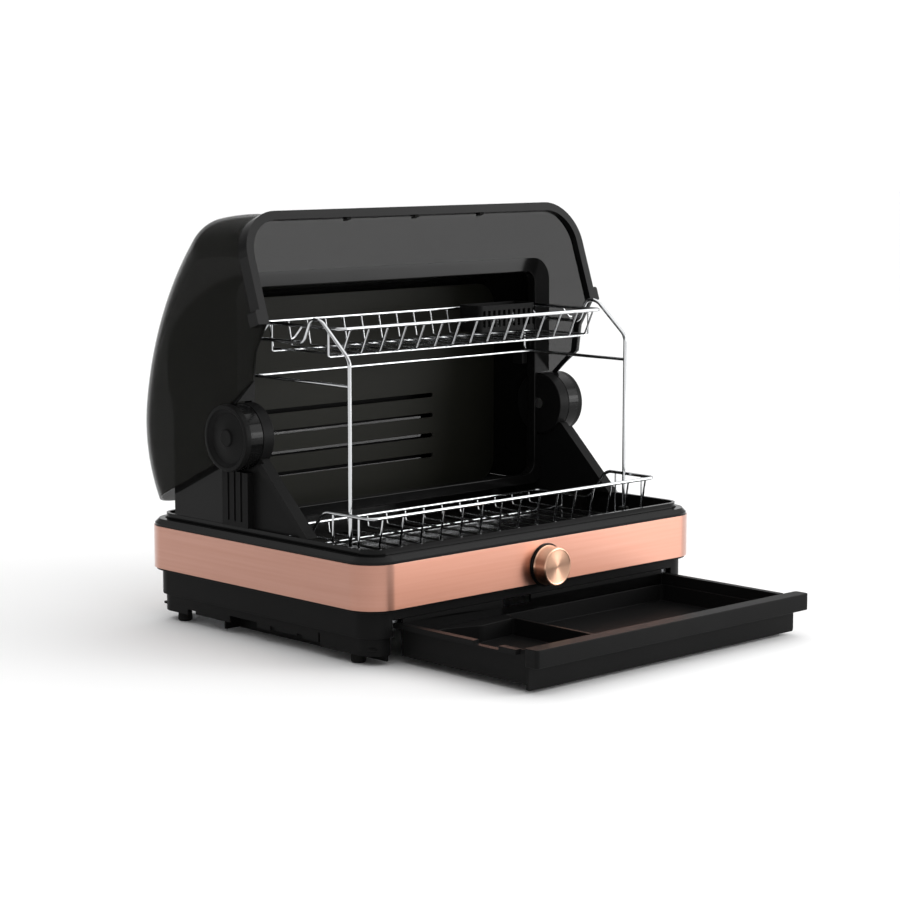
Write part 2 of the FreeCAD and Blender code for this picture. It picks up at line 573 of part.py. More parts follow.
for name, side in sides.items():
    bracket = newBody("side_bracket_" + name)
    prism(bracket, "Gusset", "YZ", *spanX(side, "bracketInner", "bracketOuter"),
          [("gussetFoot", "bracketFoot"), ("columnBack", "bracketFoot"), ("columnBack", "pivotZ"),
           ("gussetTopY", "gussetTopZ")])
    prism(bracket, "Foot", "YZ", *spanX(side, "bracketInner", "bracketOuter"),
          rectangle("gussetFoot + gussetFootLength", "columnBack", "basinFloor", "bracketFoot"))
    prism(bracket, "Column", "YZ", *spanX(side, "bracketOuter", "columnOuter"),
          rectangle("columnFront", "columnBack", "bracketFoot", "columnTop"))
    prism(bracket, "HubRoom", "YZ", *spanX(side, "drumSplit", "columnOuter"),
          disc("pivotY", "pivotZ", "drumDiameter/2 + drumClearance"), cut=True)
    prism(bracket, "InnerHub", "YZ", *spanX(side, "drumInner", "drumSplit"),
          disc("pivotY", "pivotZ", "drumDiameter/2"))
    prism(bracket, "GussetRib", "YZ", *spanX(side, "bracketOuter", "bracketOuter + gussetRib"),
          [("gussetFoot", "bracketFoot"), ("gussetFoot + gussetRibWidth", "bracketFoot"),
           ("gussetTopY + gussetRibWidth/2", "gussetTopZ - gussetRibWidth"),
           ("gussetTopY - gussetRibWidth/2", "gussetTopZ - gussetRibWidth/2")])
    for rib in ("1", "2", "3"):
        place = "columnFront + (columnBack - columnFront)*%s/4" % rib
        prism(bracket, "ColumnGroove" + rib, "YZ", *spanX(side, "columnOuter - grooveDepth", "columnOuter"),
              rectangle("%s - grooveWidth" % place, "%s + grooveWidth" % place,
                        "bracketFoot + columnRibMargin", "columnTop"), cut=True)
    prism(bracket, "PinHole", "YZ", *spanX(side, "drumInner - shellWall", "drumSplit"),
          disc("pivotY", "pivotZ", "pinDiameter/2"), cut=True)
    keep(bracket)
    keep(cylinder("hinge_pin_" + name, "X", (spanX(side, "drumInner", "pinEnd")[0], "pivotY", "pivotZ"),
                  "pinDiameter/2", "pinEnd - drumInner"))
    washerStart = spanX(side, "drumSplit", "drumSplit + washerThickness")[0]
    washer = cylinder("WasherDisc" + name, "X", (washerStart, "pivotY", "pivotZ"),
                      "washerDiameter/2", "washerThickness")
    washerHole = cylinder("WasherHole" + name, "X", (washerStart, "pivotY", "pivotZ"),
                          "pinDiameter/2", "washerThickness")
    keep(cutAway("hinge_washer_" + name, washer, washerHole))

# ---- lid ----

lidOutline = [
    ("lidRearY", "lidRearZ"), ("lidCrownY", "lidCrownZ", "lidRadius", "left"),
    ("lidShoulderY", "lidShoulderZ", "lidFrontRadius", "left"),
    ("lidLipStartY", "lidLipStartZ", "lidShoulderRadius", "left"),
    ("-lidLipReach", "-lidMouthDrop", "lidLipRadius", "left"), ("-lidNoseReach", "-lidMouthDrop"),
    ("lidKneeY - lidKneeLead", "lidKneeZ - lidKneeLead/2"), ("lidKneeY", "lidKneeZ"),
    ("hubEnterY", "hubEnterZ"), ("hubTurnY", "hubTurnZ", "drumDiameter/2", "left"),
    ("hubLeaveY", "hubLeaveZ", "drumDiameter/2", "left"),
]
lidShell = newBody("lid_shell")
prism(lidShell, "Solid", "YZ", "-lidHalf", "lidHalf", lidOutline)


def onLidArc(edge):
    # The edges where the side panels meet the long curved wall.
    middle = middleOf(edge)
    curved = isinstance(edge.Curve, Part.Circle) and edge.Curve.Radius > measure("drumDiameter")/2 + 1
    return curved and near(abs(middle.x), measure("lidHalf"))


blended(lidShell, "Fillet", "Corners", "lidCornerRadius", onLidArc)
solid = lidShell.Tip
flats = ["Face%d" % number for number, face in enumerate(solid.Shape.Faces, start=1)
         if abs(face.normalAt(*face.Surface.parameter(face.CenterOfMass)).x) < 0.01
         and not (isinstance(face.Surface, Part.Cylinder)
                  and face.Surface.Radius > measure("drumDiameter")/2 + 1)
         and isinstance(face.Surface, (Part.Plane, Part.Cylinder))
         and not near(abs(face.CenterOfMass.x), measure("lidHalf"))]
hollow = lidShell.newObject("PartDesign::Thickness", "Hollow")
hollow.Base = (solid, flats)
hollow.setExpression("Value", link("lidWall"))
hollow.Reversed = True
hollow.Join = 1
lidShell.Tip = hollow
finishFeature(lidShell, hollow)
prism(lidShell, "RearHook", "YZ", "-hookHalf", "hookHalf",
      [("lidRearY", "lidRearZ"), ("hookOuterY", "hookOuterZ", "lidRadius", "left"),
       ("hookInnerY", "hookInnerZ"), ("hookEndY", "hookEndZ", "lidRadius - hookReach", "right")])
prism(lidShell, "HubHoles", "YZ", "-lidHalf", "lidHalf", disc("0", "0", "coreDiameter/2"), cut=True)
keep(onLid(lidShell))

# The rim is a channel that the edge of the lid is pressed into. It wraps further up the outside
# than the inside, and ends in a rounded ear at each side of the nose.
rimBlank = newBody("RimBlank")
prism(rimBlank, "Rim", "XY", "-lidMouthDrop - rimBase", "rimBarHeight - lidMouthDrop",
      [("-rimInnerHalf", "-lidNoseReach"), ("-rimOuterHalf", "-lidNoseReach"),
       ("-rimOuterHalf", "rimOuterFront + rimOuterRound"),
       ("rimOuterRound - rimOuterHalf", "rimOuterFront", "rimOuterRound", "left"),
       ("rimOuterHalf - rimOuterRound", "rimOuterFront"),
       ("rimOuterHalf", "rimOuterFront + rimOuterRound", "rimOuterRound", "left"),
       ("rimOuterHalf", "-lidNoseReach"), ("rimInnerHalf", "-lidNoseReach"),
       ("rimInnerHalf", "rimInnerFront + rimInnerRound"),
       ("rimInnerHalf - rimInnerRound", "rimInnerFront", "rimInnerRound", "right"),
       ("rimInnerRound - rimInnerHalf", "rimInnerFront"),
       ("-rimInnerHalf", "rimInnerFront + rimInnerRound", "rimInnerRound", "right")])
blended(rimBlank, "Chamfer", "RimBevel", "rimBevel",
        lambda edge: near(edge.BoundBox.ZLength, 0) and middleOf(edge).z < measure("-lidMouthDrop")
        and middleOf(edge).y < measure("-lidNoseReach") - 1)
prism(rimBlank, "Ears", "XY", "-lidMouthDrop - rimBase", "rimBarHeight - lidMouthDrop",
      *[[("%d*(rimOuterHalf - rimOverhang)" % side, "-lidNoseReach - rimEarLength"),
         ("%d*rimOuterHalf" % side, "-lidNoseReach - rimEarLength"),
         ("%d*earEnd" % side, "rimEar - lidNoseReach - rimEarLength", "rimEar",
          "left" if side > 0 else "right"),
         ("%d*earEnd" % side, "-lidNoseReach"),
         ("%d*(rimOuterHalf - rimOverhang)" % side, "-lidNoseReach")] for side in sides.values()])
prism(rimBlank, "InnerStep", "XY", "rimInnerHeight - lidMouthDrop", "rimBarHeight - lidMouthDrop",
      [("-lidPanelInner", "-lidNoseReach"),
       ("-lidPanelInner", "lidCornerRadius - lidLipReach"),
       ("lidCornerRadius - lidHalf", "lidWall - lidLipReach", "lidCornerRadius - lidWall", "left"),
       ("lidHalf - lidCornerRadius", "lidWall - lidLipReach"),
       ("lidPanelInner", "lidCornerRadius - lidLipReach", "lidCornerRadius - lidWall", "left"),
       ("lidPanelInner", "-lidNoseReach")], cut=True)
onLid(rimBlank)
keep(cutAway("lid_rim", rimBlank, lidShell))

for name, side in sides.items():
    drum = cylinder("HubDrum" + name, "X", (spanX(side, "lidHubStart", "lidPanelInner")[0], "pivotY", "pivotZ"),
                    "drumDiameter/2", "lidPanelInner - lidHubStart")
    core = cylinder("HubCore" + name, "X", (spanX(side, "lidPanelInner", "lidHalf")[0], "pivotY", "pivotZ"),
                    "coreDiameter/2", "lidWall")
    bore = cylinder("HubBore" + name, "X", (spanX(side, "lidHubStart", "lidHalf")[0], "pivotY", "pivotZ"),
                    "pinDiameter/2 + pinRunningFit", "lidHalf - lidHubStart")
    keep(cutAway("lid_hub_" + name, joined("HubSolid" + name, drum, core), bore))
    cap = newBody("hinge_cap_" + name)
    sign = "" if side > 0 else "-1*"
    dish = [("lidHalf", "0"), ("lidHalf", "drumDiameter/2"), ("drumOuter", "drumDiameter/2"),
            ("drumOuter", "capDishRadius"), ("drumOuter - capDishDepth", "capDishRadius - capDishSlope"),
            ("drumOuter - capDishDepth/2", "capBossRadius + capDishSlope/2"),
            ("drumOuter", "capBossRadius"), ("drumOuter", "0")]
    revolved(cap, "Dish", "XY", "pivotZ", [(sign + "(%s)" % across, up) for across, up in dish],
             "H_Axis", alongY="pivotY")
    keep(cap)

bumpers = []
for number in ("-1", "0", "1"):
    bumper = box("Bumper%d" % len(bumpers),
                 ("%s*bumperPitch - bumperSize/2" % number, "%s*bumperPitch + bumperSize/2" % number),
                 ("rimInnerFront", "rimInnerFront + bumperThickness"),
                 ("-lidMouthDrop", "bumperSize - lidMouthDrop"))
    bumpers.append(bumper)
bumperSet = gathered("lid_bumpers", bumpers)
keep(onLid(bumperSet))

# ---- rear hood ----

rearHood = newBody("rear_hood")
prism(rearHood, "Block", "YZ", "-hoodHalf", "hoodHalf",
      [("hoodFront", "hoodFoot"), ("hoodLowerBack", "hoodFoot"), ("hoodLowerBack", "hoodStepZ"),
       ("hoodBack", "hoodStepZ + hoodBack - hoodLowerBack"), ("hoodBack", "hoodTopBack"),
       ("hoodFront", "hoodTopFront", "hoodRadius", "left")])
blended(rearHood, "Fillet", "TopCorners", "hoodCorner",
        lambda edge: near(abs(middleOf(edge).x), measure("hoodHalf"))
        and isinstance(edge.Curve, Part.Circle))
hoodBlock = rearHood.Tip
openFaces = ["Face%d" % number for number, face in enumerate(hoodBlock.Shape.Faces, start=1)
             if near(face.BoundBox.YMax, measure("hoodFront"))
             or near(face.BoundBox.ZMax, measure("hoodFoot"))]
hoodHollow = rearHood.newObject("PartDesign::Thickness", "Hollow")
hoodHollow.Base = (hoodBlock, openFaces)
hoodHollow.setExpression("Value", link("hoodWall"))
hoodHollow.Reversed = True
hoodHollow.Join = 1
rearHood.Tip = hoodHollow
finishFeature(rearHood, hoodHollow)
prism(rearHood, "FrontFrame", "XZ", "hoodFront + frameDepth", "hoodFront",
      roundedRectangle("hoodWall/2 - hoodHalf", "hoodHalf - hoodWall/2", "hoodFoot",
                       "hoodInnerTop", "hoodCorner - hoodWall/2"),
      roundedRectangle("-frameInner", "frameInner", "hoodFoot + frameWidth/2", "frameTop", "frameCorner"))
prism(rearHood, "BackOpening", "XZ", "hoodBack", "hoodLowerBack - 2*hoodWall",
      rectangle("-coverHalf + coverLap", "coverHalf - coverLap", "coverBottom + coverLap",
                "coverTop - coverLap"), cut=True)
for name, side in sides.items():
    prism(rearHood, "HubRoom" + name, "YZ", *spanX(side, "drumInner - hubSeat", "bodyWidth/2"),
          disc("pivotY", "pivotZ", "drumDiameter/2 + drumClearance"), cut=True)
    prism(rearHood, "BracketRoom" + name, "YZ",
          *spanX(side, "bracketInner - slideGap", "bodyWidth/2"),
          rectangle("hoodFront", "columnBack + slideGap", "deckTop", "pivotZ"), cut=True)
keep(rearHood)

backPanel = newBody("back_panel")
prism(backPanel, "Panel", "XZ", "panelPlace + panelThickness", "panelPlace",
      [("-panelHalf", "deckTop + slideGap"), ("panelHalf", "deckTop + slideGap"),
       ("panelHalf", "panelTop - hoodCorner"),
       ("panelHalf - hoodCorner", "panelTop", "hoodCorner", "left"),
       ("hoodCorner - panelHalf", "panelTop"),
       ("-panelHalf", "panelTop - hoodCorner", "hoodCorner", "left")])
slot = prism(backPanel, "Slot", "XZ", "panelPlace + panelThickness", "panelPlace",
             roundedRectangle("-panelSlotLength/2", "panelSlotLength/2", "panelSlotStart",
                              "panelSlotStart + panelSlotWidth", "panelSlotWidth/2.1"), cut=True)
patterned(backPanel, "Slots", slot, "XZ", "Z", "panelSlotPitch*(panelSlotCount - 1)", "panelSlotCount")
keep(backPanel)

rearCover = newBody("rear_cover")
prism(rearCover, "Plate", "XZ", "hoodLowerBack + coverThickness", "hoodLowerBack",
      roundedRectangle("-coverHalf", "coverHalf", "coverBottom", "coverTop", "coverLap/2"))
slot = prism(rearCover, "Slot", "XZ", "hoodLowerBack + coverThickness", "hoodLowerBack",
             rectangle("2*coverLap - coverHalf", "coverHalf - 2*coverLap", "coverBottom + 2*coverLap",
                       "coverBottom + 2*coverLap + coverSlot"), cut=True)
patterned(rearCover, "Slots", slot, "XZ", "Z", "2*coverSlot*(coverSlotCount - 1)", "coverSlotCount")
keep(rearCover)

# ---- ultraviolet lamp ----

keep(cylinder("uv_lamp", "X", ("-lampLength/2", "lampY", "lampZ"), "lampDiameter/2", "lampLength"))
holders = []
for name, side in sides.items():
    block = box("HolderBlock" + name,
                spanX(side, "lampLength/2 - holderLap", "lampLength/2 + holderLap"),
                ("lampY - lampDiameter", "lampY + lampDiameter"), ("lampZ - 3*lampDiameter/4", "holderTop"))
    socket = cylinder("HolderSocket" + name, "X",
                      (spanX(side, "lampLength/2 - holderLap", "lampLength/2")[0], "lampY", "lampZ"),
                      "lampDiameter/2", "holderLap")
    holders.append(cutAway("Holder" + name, block, socket))
keep(gathered("lamp_holders", holders))

# ---- cutlery drawer ----

tray = newBody("drawer_tray")
prism(tray, "Tray", "XY", "trayBottom", "trayTop",
      rectangle("-trayWidth/2", "trayWidth/2", "trayFront", "trayBack"))
prism(tray, "BackWall", "XY", "trayTop", "frontTop",
      rectangle("-trayWidth/2", "trayWidth/2", "trayBack - trayWall", "trayBack"))
prism(tray, "Inside", "XY", "trayFloor", "frontTop",
      rectangle("trayWall - trayWidth/2", "trayWidth/2 - trayWall", "trayFront + trayWall",
                "trayBack - trayWall"), cut=True)
prism(tray, "Flanges", "XY", "trayTop - flangeHeight", "trayTop",
      *[rectangle(*spanX(side, "trayWidth/2 - trayWall", "trayWidth/2 + flangeWidth"),
                  "trayFront + flangeStart", "trayBack + flangeTail") for side in sides.values()])
prism(tray, "BackNotch", "XZ", "trayBack", "trayBack - trayWall",
      rectangle("backNotchLeft", "backNotchRight", "trayTop - lipRise", "frontTop"), cut=True)
prism(tray, "WallNotch", "YZ", "-trayWidth/2", "trayWall - trayWidth/2",
      rectangle("wallNotchFront", "wallNotchBack", "trayTop - lipRise", "trayTop"), cut=True)
keep(tray)

front = newBody("drawer_front")
prism(front, "Panel", "XY", "frontBottom", "frontTop",
      rectangle("-frontWidth/2", "frontWidth/2", "openFace", "openFace + frontThickness"))
prism(front, "Lip", "XY", "lipBottom", "frontTop",
      rectangle("-lipWidth/2", "lipWidth/2", "openFace - lipDepth", "openFace + frontThickness/2"))
prism(front, "LipHollow", "XY", "lipBottom", "frontTop - lipWall",
      rectangle("lipWall - lipWidth/2", "lipWidth/2 - lipWall", "openFace - lipDepth + lipWall",
                "openFace"), cut=True)
blended(front, "Chamfer", "LipBevel", "rimBevel",
        lambda edge: near(middleOf(edge).z, measure("frontTop"))
        and near(middleOf(edge).y, measure("openFace - lipDepth")))
keep(front)

insert = newBody("drawer_insert")
prism(insert, "Deck", "XY", "trayFloor", "trayFloor + insertHeight",
      roundedRectangle("-insertHalf", "insertHalf", "insertFront", "insertBack", "insertCorner"))
prism(insert, "CutleryBay", "XY", "trayFloor + trayWall", "trayFloor + insertHeight",
      roundedRectangle("dividerPlace", "insertHalf - trayWall", "insertFront + trayWall",
                       "insertBack - trayWall", "insertCorner"), cut=True)
prism(insert, "LeftBay", "XY", "trayFloor + trayWall", "trayFloor + insertHeight",
      [("trayWall - insertHalf", "insertFront + trayWall"),
       ("dividerPlace - insertRib", "insertFront + trayWall"),
       ("dividerPlace - insertRib", "insertBack - archStart"), ("archRight", "insertBack - archDepth"),
       ("archLeft", "insertBack - archEnd"), ("trayWall - insertHalf", "insertBack - archEnd")], cut=True)
keep(insert)

for name, side in sides.items():
    rail = box("RunnerBlock" + name, spanX(side, "trayWidth/2 + runnerGap", "openingHalf"),
               ("housingFront + runnerSetback", "bulkheadPlace"),
               ("trayTop - flangeHeight - slideGap - runnerWall", "trayTop + slideGap + runnerWall"))
    channel = box("RunnerChannel" + name,
                  spanX(side, "trayWidth/2 + runnerGap", "trayWidth/2 + flangeWidth + slideGap"),
                  ("housingFront + runnerSetback", "bulkheadPlace"),
                  ("trayTop - flangeHeight - slideGap", "trayTop + slideGap"))
    keep(cutAway("drawer_runner_" + name, rail, channel))

# ---- knob and timer ----

shaftHole = disc("0", "knobHeight", "knobShaftDiameter/2 + shaftClearance")
prism(upperShell, "ShaftHole", "XZ", "knobBase + 2*shellWall + bandThickness", "knobBase", shaftHole, cut=True)
prism(trimBand, "ShaftHole", "XZ", "knobBase + bandThickness", "knobBase", shaftHole, cut=True)
ringDisc = cylinder("RingDisc", "Y", ("0", "knobBase - knobRingThickness", "knobHeight"),
                    "knobRingDiameter/2", "knobRingThickness")
ringHole = cylinder("RingHole", "Y", ("0", "knobBase - knobRingThickness", "knobHeight"),
                    "knobShaftDiameter/2 + shaftClearance", "knobRingThickness")
keep(cutAway("knob_ring", ringDisc, ringHole))

knob = newBody("control_knob")
revolved(knob, "Turned", "YZ", "0",
         [("knobBack", "0"), ("knobBack", "knobDiameter/2 + knobFlare"),
          ("knobBack - 2*knobFlare", "knobDiameter/2"),
          ("knobFace + 2*knobFlare", "knobDiameter/2"), ("knobFace", "knobDiameter/2 - 2*knobFlare"),
          ("knobFace", "0")], "H_Axis", alongY="knobHeight")
prism(knob, "Socket", "XZ", "knobBack", "knobBack - knobSocket",
      disc("0", "knobHeight", "knobShaftDiameter/2"), cut=True)
keep(knob)
keep(cylinder("timer_shaft", "Y", ("0", "knobBack - knobSocket", "knobHeight"), "knobShaftDiameter/2",
              "knobSocket + shaftReach"))
timerCase = cylinder("TimerCase", "Y", ("0", "timerFront", "knobHeight"), "timerDiameter/2", "timerLength")
timerBore = cylinder("TimerBore", "Y", ("0", "timerFront", "knobHeight"),
                     "knobShaftDiameter/2 + pinRunningFit", "timerBoreDepth")
keep(cutAway("timer_switch", timerCase, timerBore))

# ---- fan, heater and power ----

fanCase = cylinder("FanCase", "Z", ("fanX", "fanY", "fanFloor - fanGap - shellWall"),
                   "impellerDiameter/2 + fanGap + shellWall", "fanTop - fanFloor + 2*fanGap + shellWall")
fanRoom = cylinder("FanRoom", "Z", ("fanX", "fanY", "fanFloor - fanGap"),
                   "impellerDiameter/2 + fanGap", "impellerHeight + 3*fanGap")
fanOutlet = box("FanOutlet", ("fanX", "fanX + impellerDiameter/2 + 2*fanGap + 2*shellWall"),
                ("fanY + impellerDiameter/8", "fanY + impellerDiameter/2 - 2*fanGap"),
                ("fanFloor", "fanTop"))
fanInlet = cylinder("FanInlet", "Z", ("fanX", "fanY", "fanFloor - fanGap - shellWall"),
                    "impellerDiameter/4", "fanGap + 2*shellWall")
keep(cutAway("fan_housing", fanCase, joined("FanSpace", fanRoom, fanOutlet, fanInlet)))
motorCase = cylinder("MotorCase", "Z", ("fanX", "fanY", "fanTop + fanGap"), "motorDiameter/2", "motorHeight")
motorLid = cylinder("MotorPlate", "Z", ("fanX", "fanY", "fanTop + fanGap"),
                    "impellerDiameter/2 + fanGap + shellWall", "shellWall")
motorBore = cylinder("MotorBore", "Z", ("fanX", "fanY", "fanTop + fanGap"),
                     "fanShaftDiameter/2 + pinRunningFit", "motorHeight/2")
keep(cutAway("fan_motor", joined("MotorSolid", motorCase, motorLid), motorBore))
impeller = newBody("fan_impeller")
prism(impeller, "BackDisc", "XY", "fanTop - shellWall", "fanTop", disc("fanX", "fanY", "impellerDiameter/2"))
prism(impeller, "Shaft", "XY", "fanTop - shellWall", "fanTop + fanGap + motorHeight/2 - fanGap",
      disc("fanX", "fanY", "fanShaftDiameter/2"))
for number in range(sizes["bladeCount"]):
    angle = "%d*360/bladeCount" % number
    reach = "(impellerDiameter/2 - bladeReach/2 - bladeMargin)"
    middle = ("fanX + %s*cos(%s)" % (reach, angle), "fanY + %s*sin(%s)" % (reach, angle))
    prism(impeller, "Blade%d" % number, "XY", "fanFloor", "fanTop - shellWall/2",
          [("%s + (%s)" % (middle[0], "bladeReach/2*(%s)*cos(%s) - bladeThickness/2*(%s)*sin(%s)"
                           % (along, angle, across, angle)),
            "%s + (%s)" % (middle[1], "bladeReach/2*(%s)*sin(%s) + bladeThickness/2*(%s)*cos(%s)"
                           % (along, angle, across, angle)))
           for along, across in (("-1", "-1"), ("1", "-1"), ("1", "1"), ("-1", "1"))])
keep(impeller)

keep(cylinder("heater", "X", ("heaterStart", "fanY + impellerDiameter/4", "fanFloor + impellerHeight/2"),
              "heaterDiameter/2", "ductEnd - shellWall - heaterStart"))
ductSkin = box("DuctSkin", ("ductStart", "ductEnd"), ("ductFront", "ductBack"),
               ("plateTop", "fanTop + shellWall"))
ductRoom = box("DuctRoom", ("ductStart", "ductEnd - shellWall"),
               ("ductFront + shellWall", "ductBack - shellWall"), ("fanFloor", "fanTop"))
ductRise = box("DuctRise", ("ductEnd - ductOutlet", "ductEnd - shellWall"),
               ("ductFront + shellWall", "ductBack - shellWall"), ("fanTop", "fanTop + 2*shellWall"))
keep(cutAway("air_duct", ductSkin, joined("DuctSpace", ductRoom, ductRise)))
keep(box("control_board", ("boardStart", "boardStart + boardLength"),
         ("boardPlace", "boardPlace + shellWall"), ("plateTop", "plateTop + boardHeight")))
inletBlock = box("InletBlock", ("inletPlace - inletWidth/2", "inletPlace + inletWidth/2"),
                 ("plateBack - inletDepth", "plateBack"), ("plateTop", "plateTop + inletHeight"))
inletSocket = box("InletSocket", ("inletPlace - inletWidth/3", "inletPlace + inletWidth/3"),
                  ("plateBack - inletDepth + 2*shellWall", "plateBack"),
                  ("plateTop + shellWall", "plateTop + inletHeight - shellWall"))
keep(cutAway("power_inlet", inletBlock, inletSocket))

# ---- wire racks ----


railFacets, wireFacets = 8, 6


def wirePath(places, bend):
    # A line through the places, with its corners bent round where there is room.
    points = [Vector(*[measure(text) for text in place]) for place in places]
    edges, start = [], points[0]
    for before, corner, after in zip(points, points[1:], points[2:]):
        inward, outward = (corner - before).normalize(), (after - corner).normalize()
        turn = inward.getAngle(outward)
        if turn < 0.02 or bend <= 0:
            edges.append(Part.makeLine(start, corner))
            start = corner
            continue
        trim = bend*math.tan(turn/2)
        first, last = corner - inward*trim, corner + outward*trim
        bisector = (outward - inward).normalize()
        middle = corner + bisector*(bend/math.cos(turn/2) - bend)
        if (first - start).Length > 0.01:
            edges.append(Part.makeLine(start, first))
        edges.append(Part.Arc(first, middle, last).toShape())
        start = last
    edges.append(Part.makeLine(start, points[-1]))
    return Part.Wire(edges)


def wire(places, diameter, bend="bendRadius", facets=0):
    path = wirePath(places, measure(bend))
    start = path.Edges[0].Vertexes[0].Point
    direction = (path.Edges[0].Vertexes[-1].Point - start).normalize()
    radius = measure(diameter)/2
    if facets:
        across = direction.cross(Vector(1, 0.3, 0.2)).normalize()
        points = [start + FreeCAD.Rotation(direction, 360*step/facets).multVec(across*radius)
                  for step in range(facets)]
        profile = Part.makePolygon(points + points[:1])
    else:
        profile = Part.Wire(Part.makeCircle(radius, start, direction))
    return path.makePipeShell([profile], True, False, 0 if measure(bend) > 0 else 1)


def rimLoop(places, diameter):
    # A closed rim, given by its left half from the middle of its back side to the front corner.
    mirrored = [(x.replace("-", "", 1), y, z) for x, y, z in reversed(places[1:])]
    return wire(places + mirrored + places[:1], diameter, facets=railFacets)


def fused(*shapes):
    whole = shapes[0].multiFuse(list(shapes[1:]))
    return whole.Solids[0] if len(whole.Solids) == 1 else whole


def spread(first, last, count):
    # Evenly spaced places from first to last, as expressions.
    return ["(%s) + ((%s) - (%s))*%d/%d" % (first, last, first, step, count - 1) for step in range(count)]


def basketOf(rim, front, back, across, crossing, floor, crossFloor, half):
    # A wire basket: its rim, the wires that run from front to back and those that cross below.
    wires = [rimLoop(rim, "railDiameter")]
    for x in across:
        wires.append(wire([(x, *front), (x, front[0], floor), (x, back[0], floor), (x, *back)],
                          "wireDiameter", "0", wireFacets))
    for y, top in crossing:
        wires.append(wire([("-" + half, y, top), ("-" + half, y, crossFloor), (half, y, crossFloor),
                           (half, y, top)], "wireDiameter", "0", wireFacets))
    return wires


rackWires = basketOf(
    [("0", "rackBack", "rackLow"), ("-rackHalf", "rackBack", "rackLow"),
     ("-rackHalf", "rackShoulder + rackSlope", "rackLow"), ("-rackHalf", "rackShoulder", "rackTop"),
     ("-rackHalf", "rackFront", "rackTop")],
    ("rackFront", "rackTop"), ("rackBack", "rackLow"),
    spread("-rackSpread", "rackSpread", sizes["rackWireCount"]),
    [("rackFront + rackSideWire", "rackTop"), ("rackFront + 3*rackSideWire", "rackTop"),
     ("rackBack - 2*rackSideWire", "rackLow")], "rackFloor", "rackCross", "rackHalf")
keep(plainFeature("lower_rack", fused(*rackWires)))

shelfWires = []
for side in sides.values():
    x = "%d*postX" % side
    shelfWires.append(wire([(x, "postY", "capTop - capDepth"), (x, "postY", "postTop"),
                            (x, "humpFront", "humpHeight"), (x, "humpBack", "humpHeight"),
                            (x, "shelfDip", "shelfHeight"), (x, "shelfBack", "shelfHeight")],
                           "postDiameter", facets=railFacets))
    shelfWires.append(wire([(x, "postY", "sideRailHeight"),
                            (x, "shelfBack - bendRadius", "sideRailHeight"),
                            (x, "shelfBack - bendRadius", "shelfHeight")],
                           "railDiameter", facets=railFacets))
shelfWires.append(wire([("-postX", "shelfBack - 2*bendRadius", "sideRailHeight"),
                        ("postX", "shelfBack - 2*bendRadius", "sideRailHeight")],
                       "railDiameter", facets=railFacets))
keep(plainFeature("shelf_frame", fused(*shelfWires)))

caps = []
for name, side in sides.items():
    outer = cylinder("CapBlock" + name, "Z", ("%d*postX" % side, "postY", "basinFloor + slideGap"),
                     "capDiameter/2", "capHeight - slideGap")
    hole = cylinder("CapHole" + name, "Z", ("%d*postX" % side, "postY", "capTop - capDepth"),
                    "postDiameter/2", "capDepth")
    caps.append(cutAway("Cap" + name, outer, hole))
keep(gathered("post_caps", caps))

basketWires = basketOf(
    [("0", "basketBack", "basketTop"), ("-basketHalf", "basketBack", "basketTop"),
     ("-basketHalf", "basketFront", "basketTop")],
    ("basketFront", "basketTop"), ("basketBack", "basketTop"),
    spread("-basketSpread", "basketSpread", sizes["basketWireCount"]),
    [("basketFront + rackSideWire", "basketTop"), ("basketBack - rackSideWire", "basketTop")],
    "basketFloor", "basketCross", "basketHalf")
hooks = [wire([("%d*basketHalf" % side, y, "basketTop"),
               ("%d*postX" % side, y, "hookHeight"),
               ("%d*(postX + bendRadius/2)" % side, y, "hookHeight")], "wireDiameter", "0", wireFacets)
         for side in sides.values() for y in ("shelfDip + 2*bendRadius", "basketBack - 2*bendRadius")]
keep(plainFeature("upper_basket", fused(*basketWires, *hooks)))

holderWalls = box("HolderWalls", ("basketSpread - holderLength", "basketSpread"),
                  ("basketBack - holderWidth", "basketBack - railDiameter"),
                  ("basketFloor + wireDiameter/2 + slideGap/2", "basketTop + railDiameter"))
holderRoom = box("HolderRoom", ("basketSpread - holderLength + trayWall", "basketSpread - trayWall"),
                 ("basketBack - holderWidth + trayWall", "basketBack - railDiameter - trayWall"),
                 ("basketFloor + wireDiameter/2 + trayWall", "basketTop + railDiameter"))
keep(cutAway("utensil_holder", holderWalls, holderRoom))

supports = []
for name, side in sides.items():
    block = box("SupportBlock" + name, spanX(side, "postX - supportWidth/2", "frameInner"),
                ("hoodFront + frameDepth", "hoodFront + frameDepth + supportDepth"),
                ("sideRailHeight - supportDepth", "shelfHeight + supportDepth/4"))
    room = box("SupportRoom" + name, spanX(side, "postX - supportWidth/2", "postX + postDiameter"),
               ("hoodFront + frameDepth", "hoodFront + frameDepth + supportDepth"),
               ("sideRailHeight - railDiameter/2 - slideGap", "shelfHeight + supportDepth/4"))
    supports.append(cutAway("Support" + name, block, room))
keep(gathered("shelf_brackets", supports))

# ---- checks and files ----

document.recompute()
os.makedirs("parts", exist_ok=True)
faults = []
for item in document.Objects:
    if "Invalid" in item.State or "Error" in item.State:
        faults.append("%s: %s" % (item.Label, item.State))
for item in parts:
    if item.Shape.isNull() or not item.Shape.isValid() or not item.Shape.Solids:
        faults.append("%s: shape is null or not valid" % item.Label)
if faults:
    raise ValueError("; ".join(faults))
for item in parts:
    item.Shape.exportStep(os.path.join("parts", item.Label + ".step"))
    span = item.Shape.BoundBox
    print("%-20s solids %2d  x %7.1f %7.1f  y %7.1f %7.1f  z %6.1f %6.1f"
          % (item.Label, len(item.Shape.Solids), span.XMin, span.XMax, span.YMin, span.YMax,
             span.ZMin, span.ZMax))
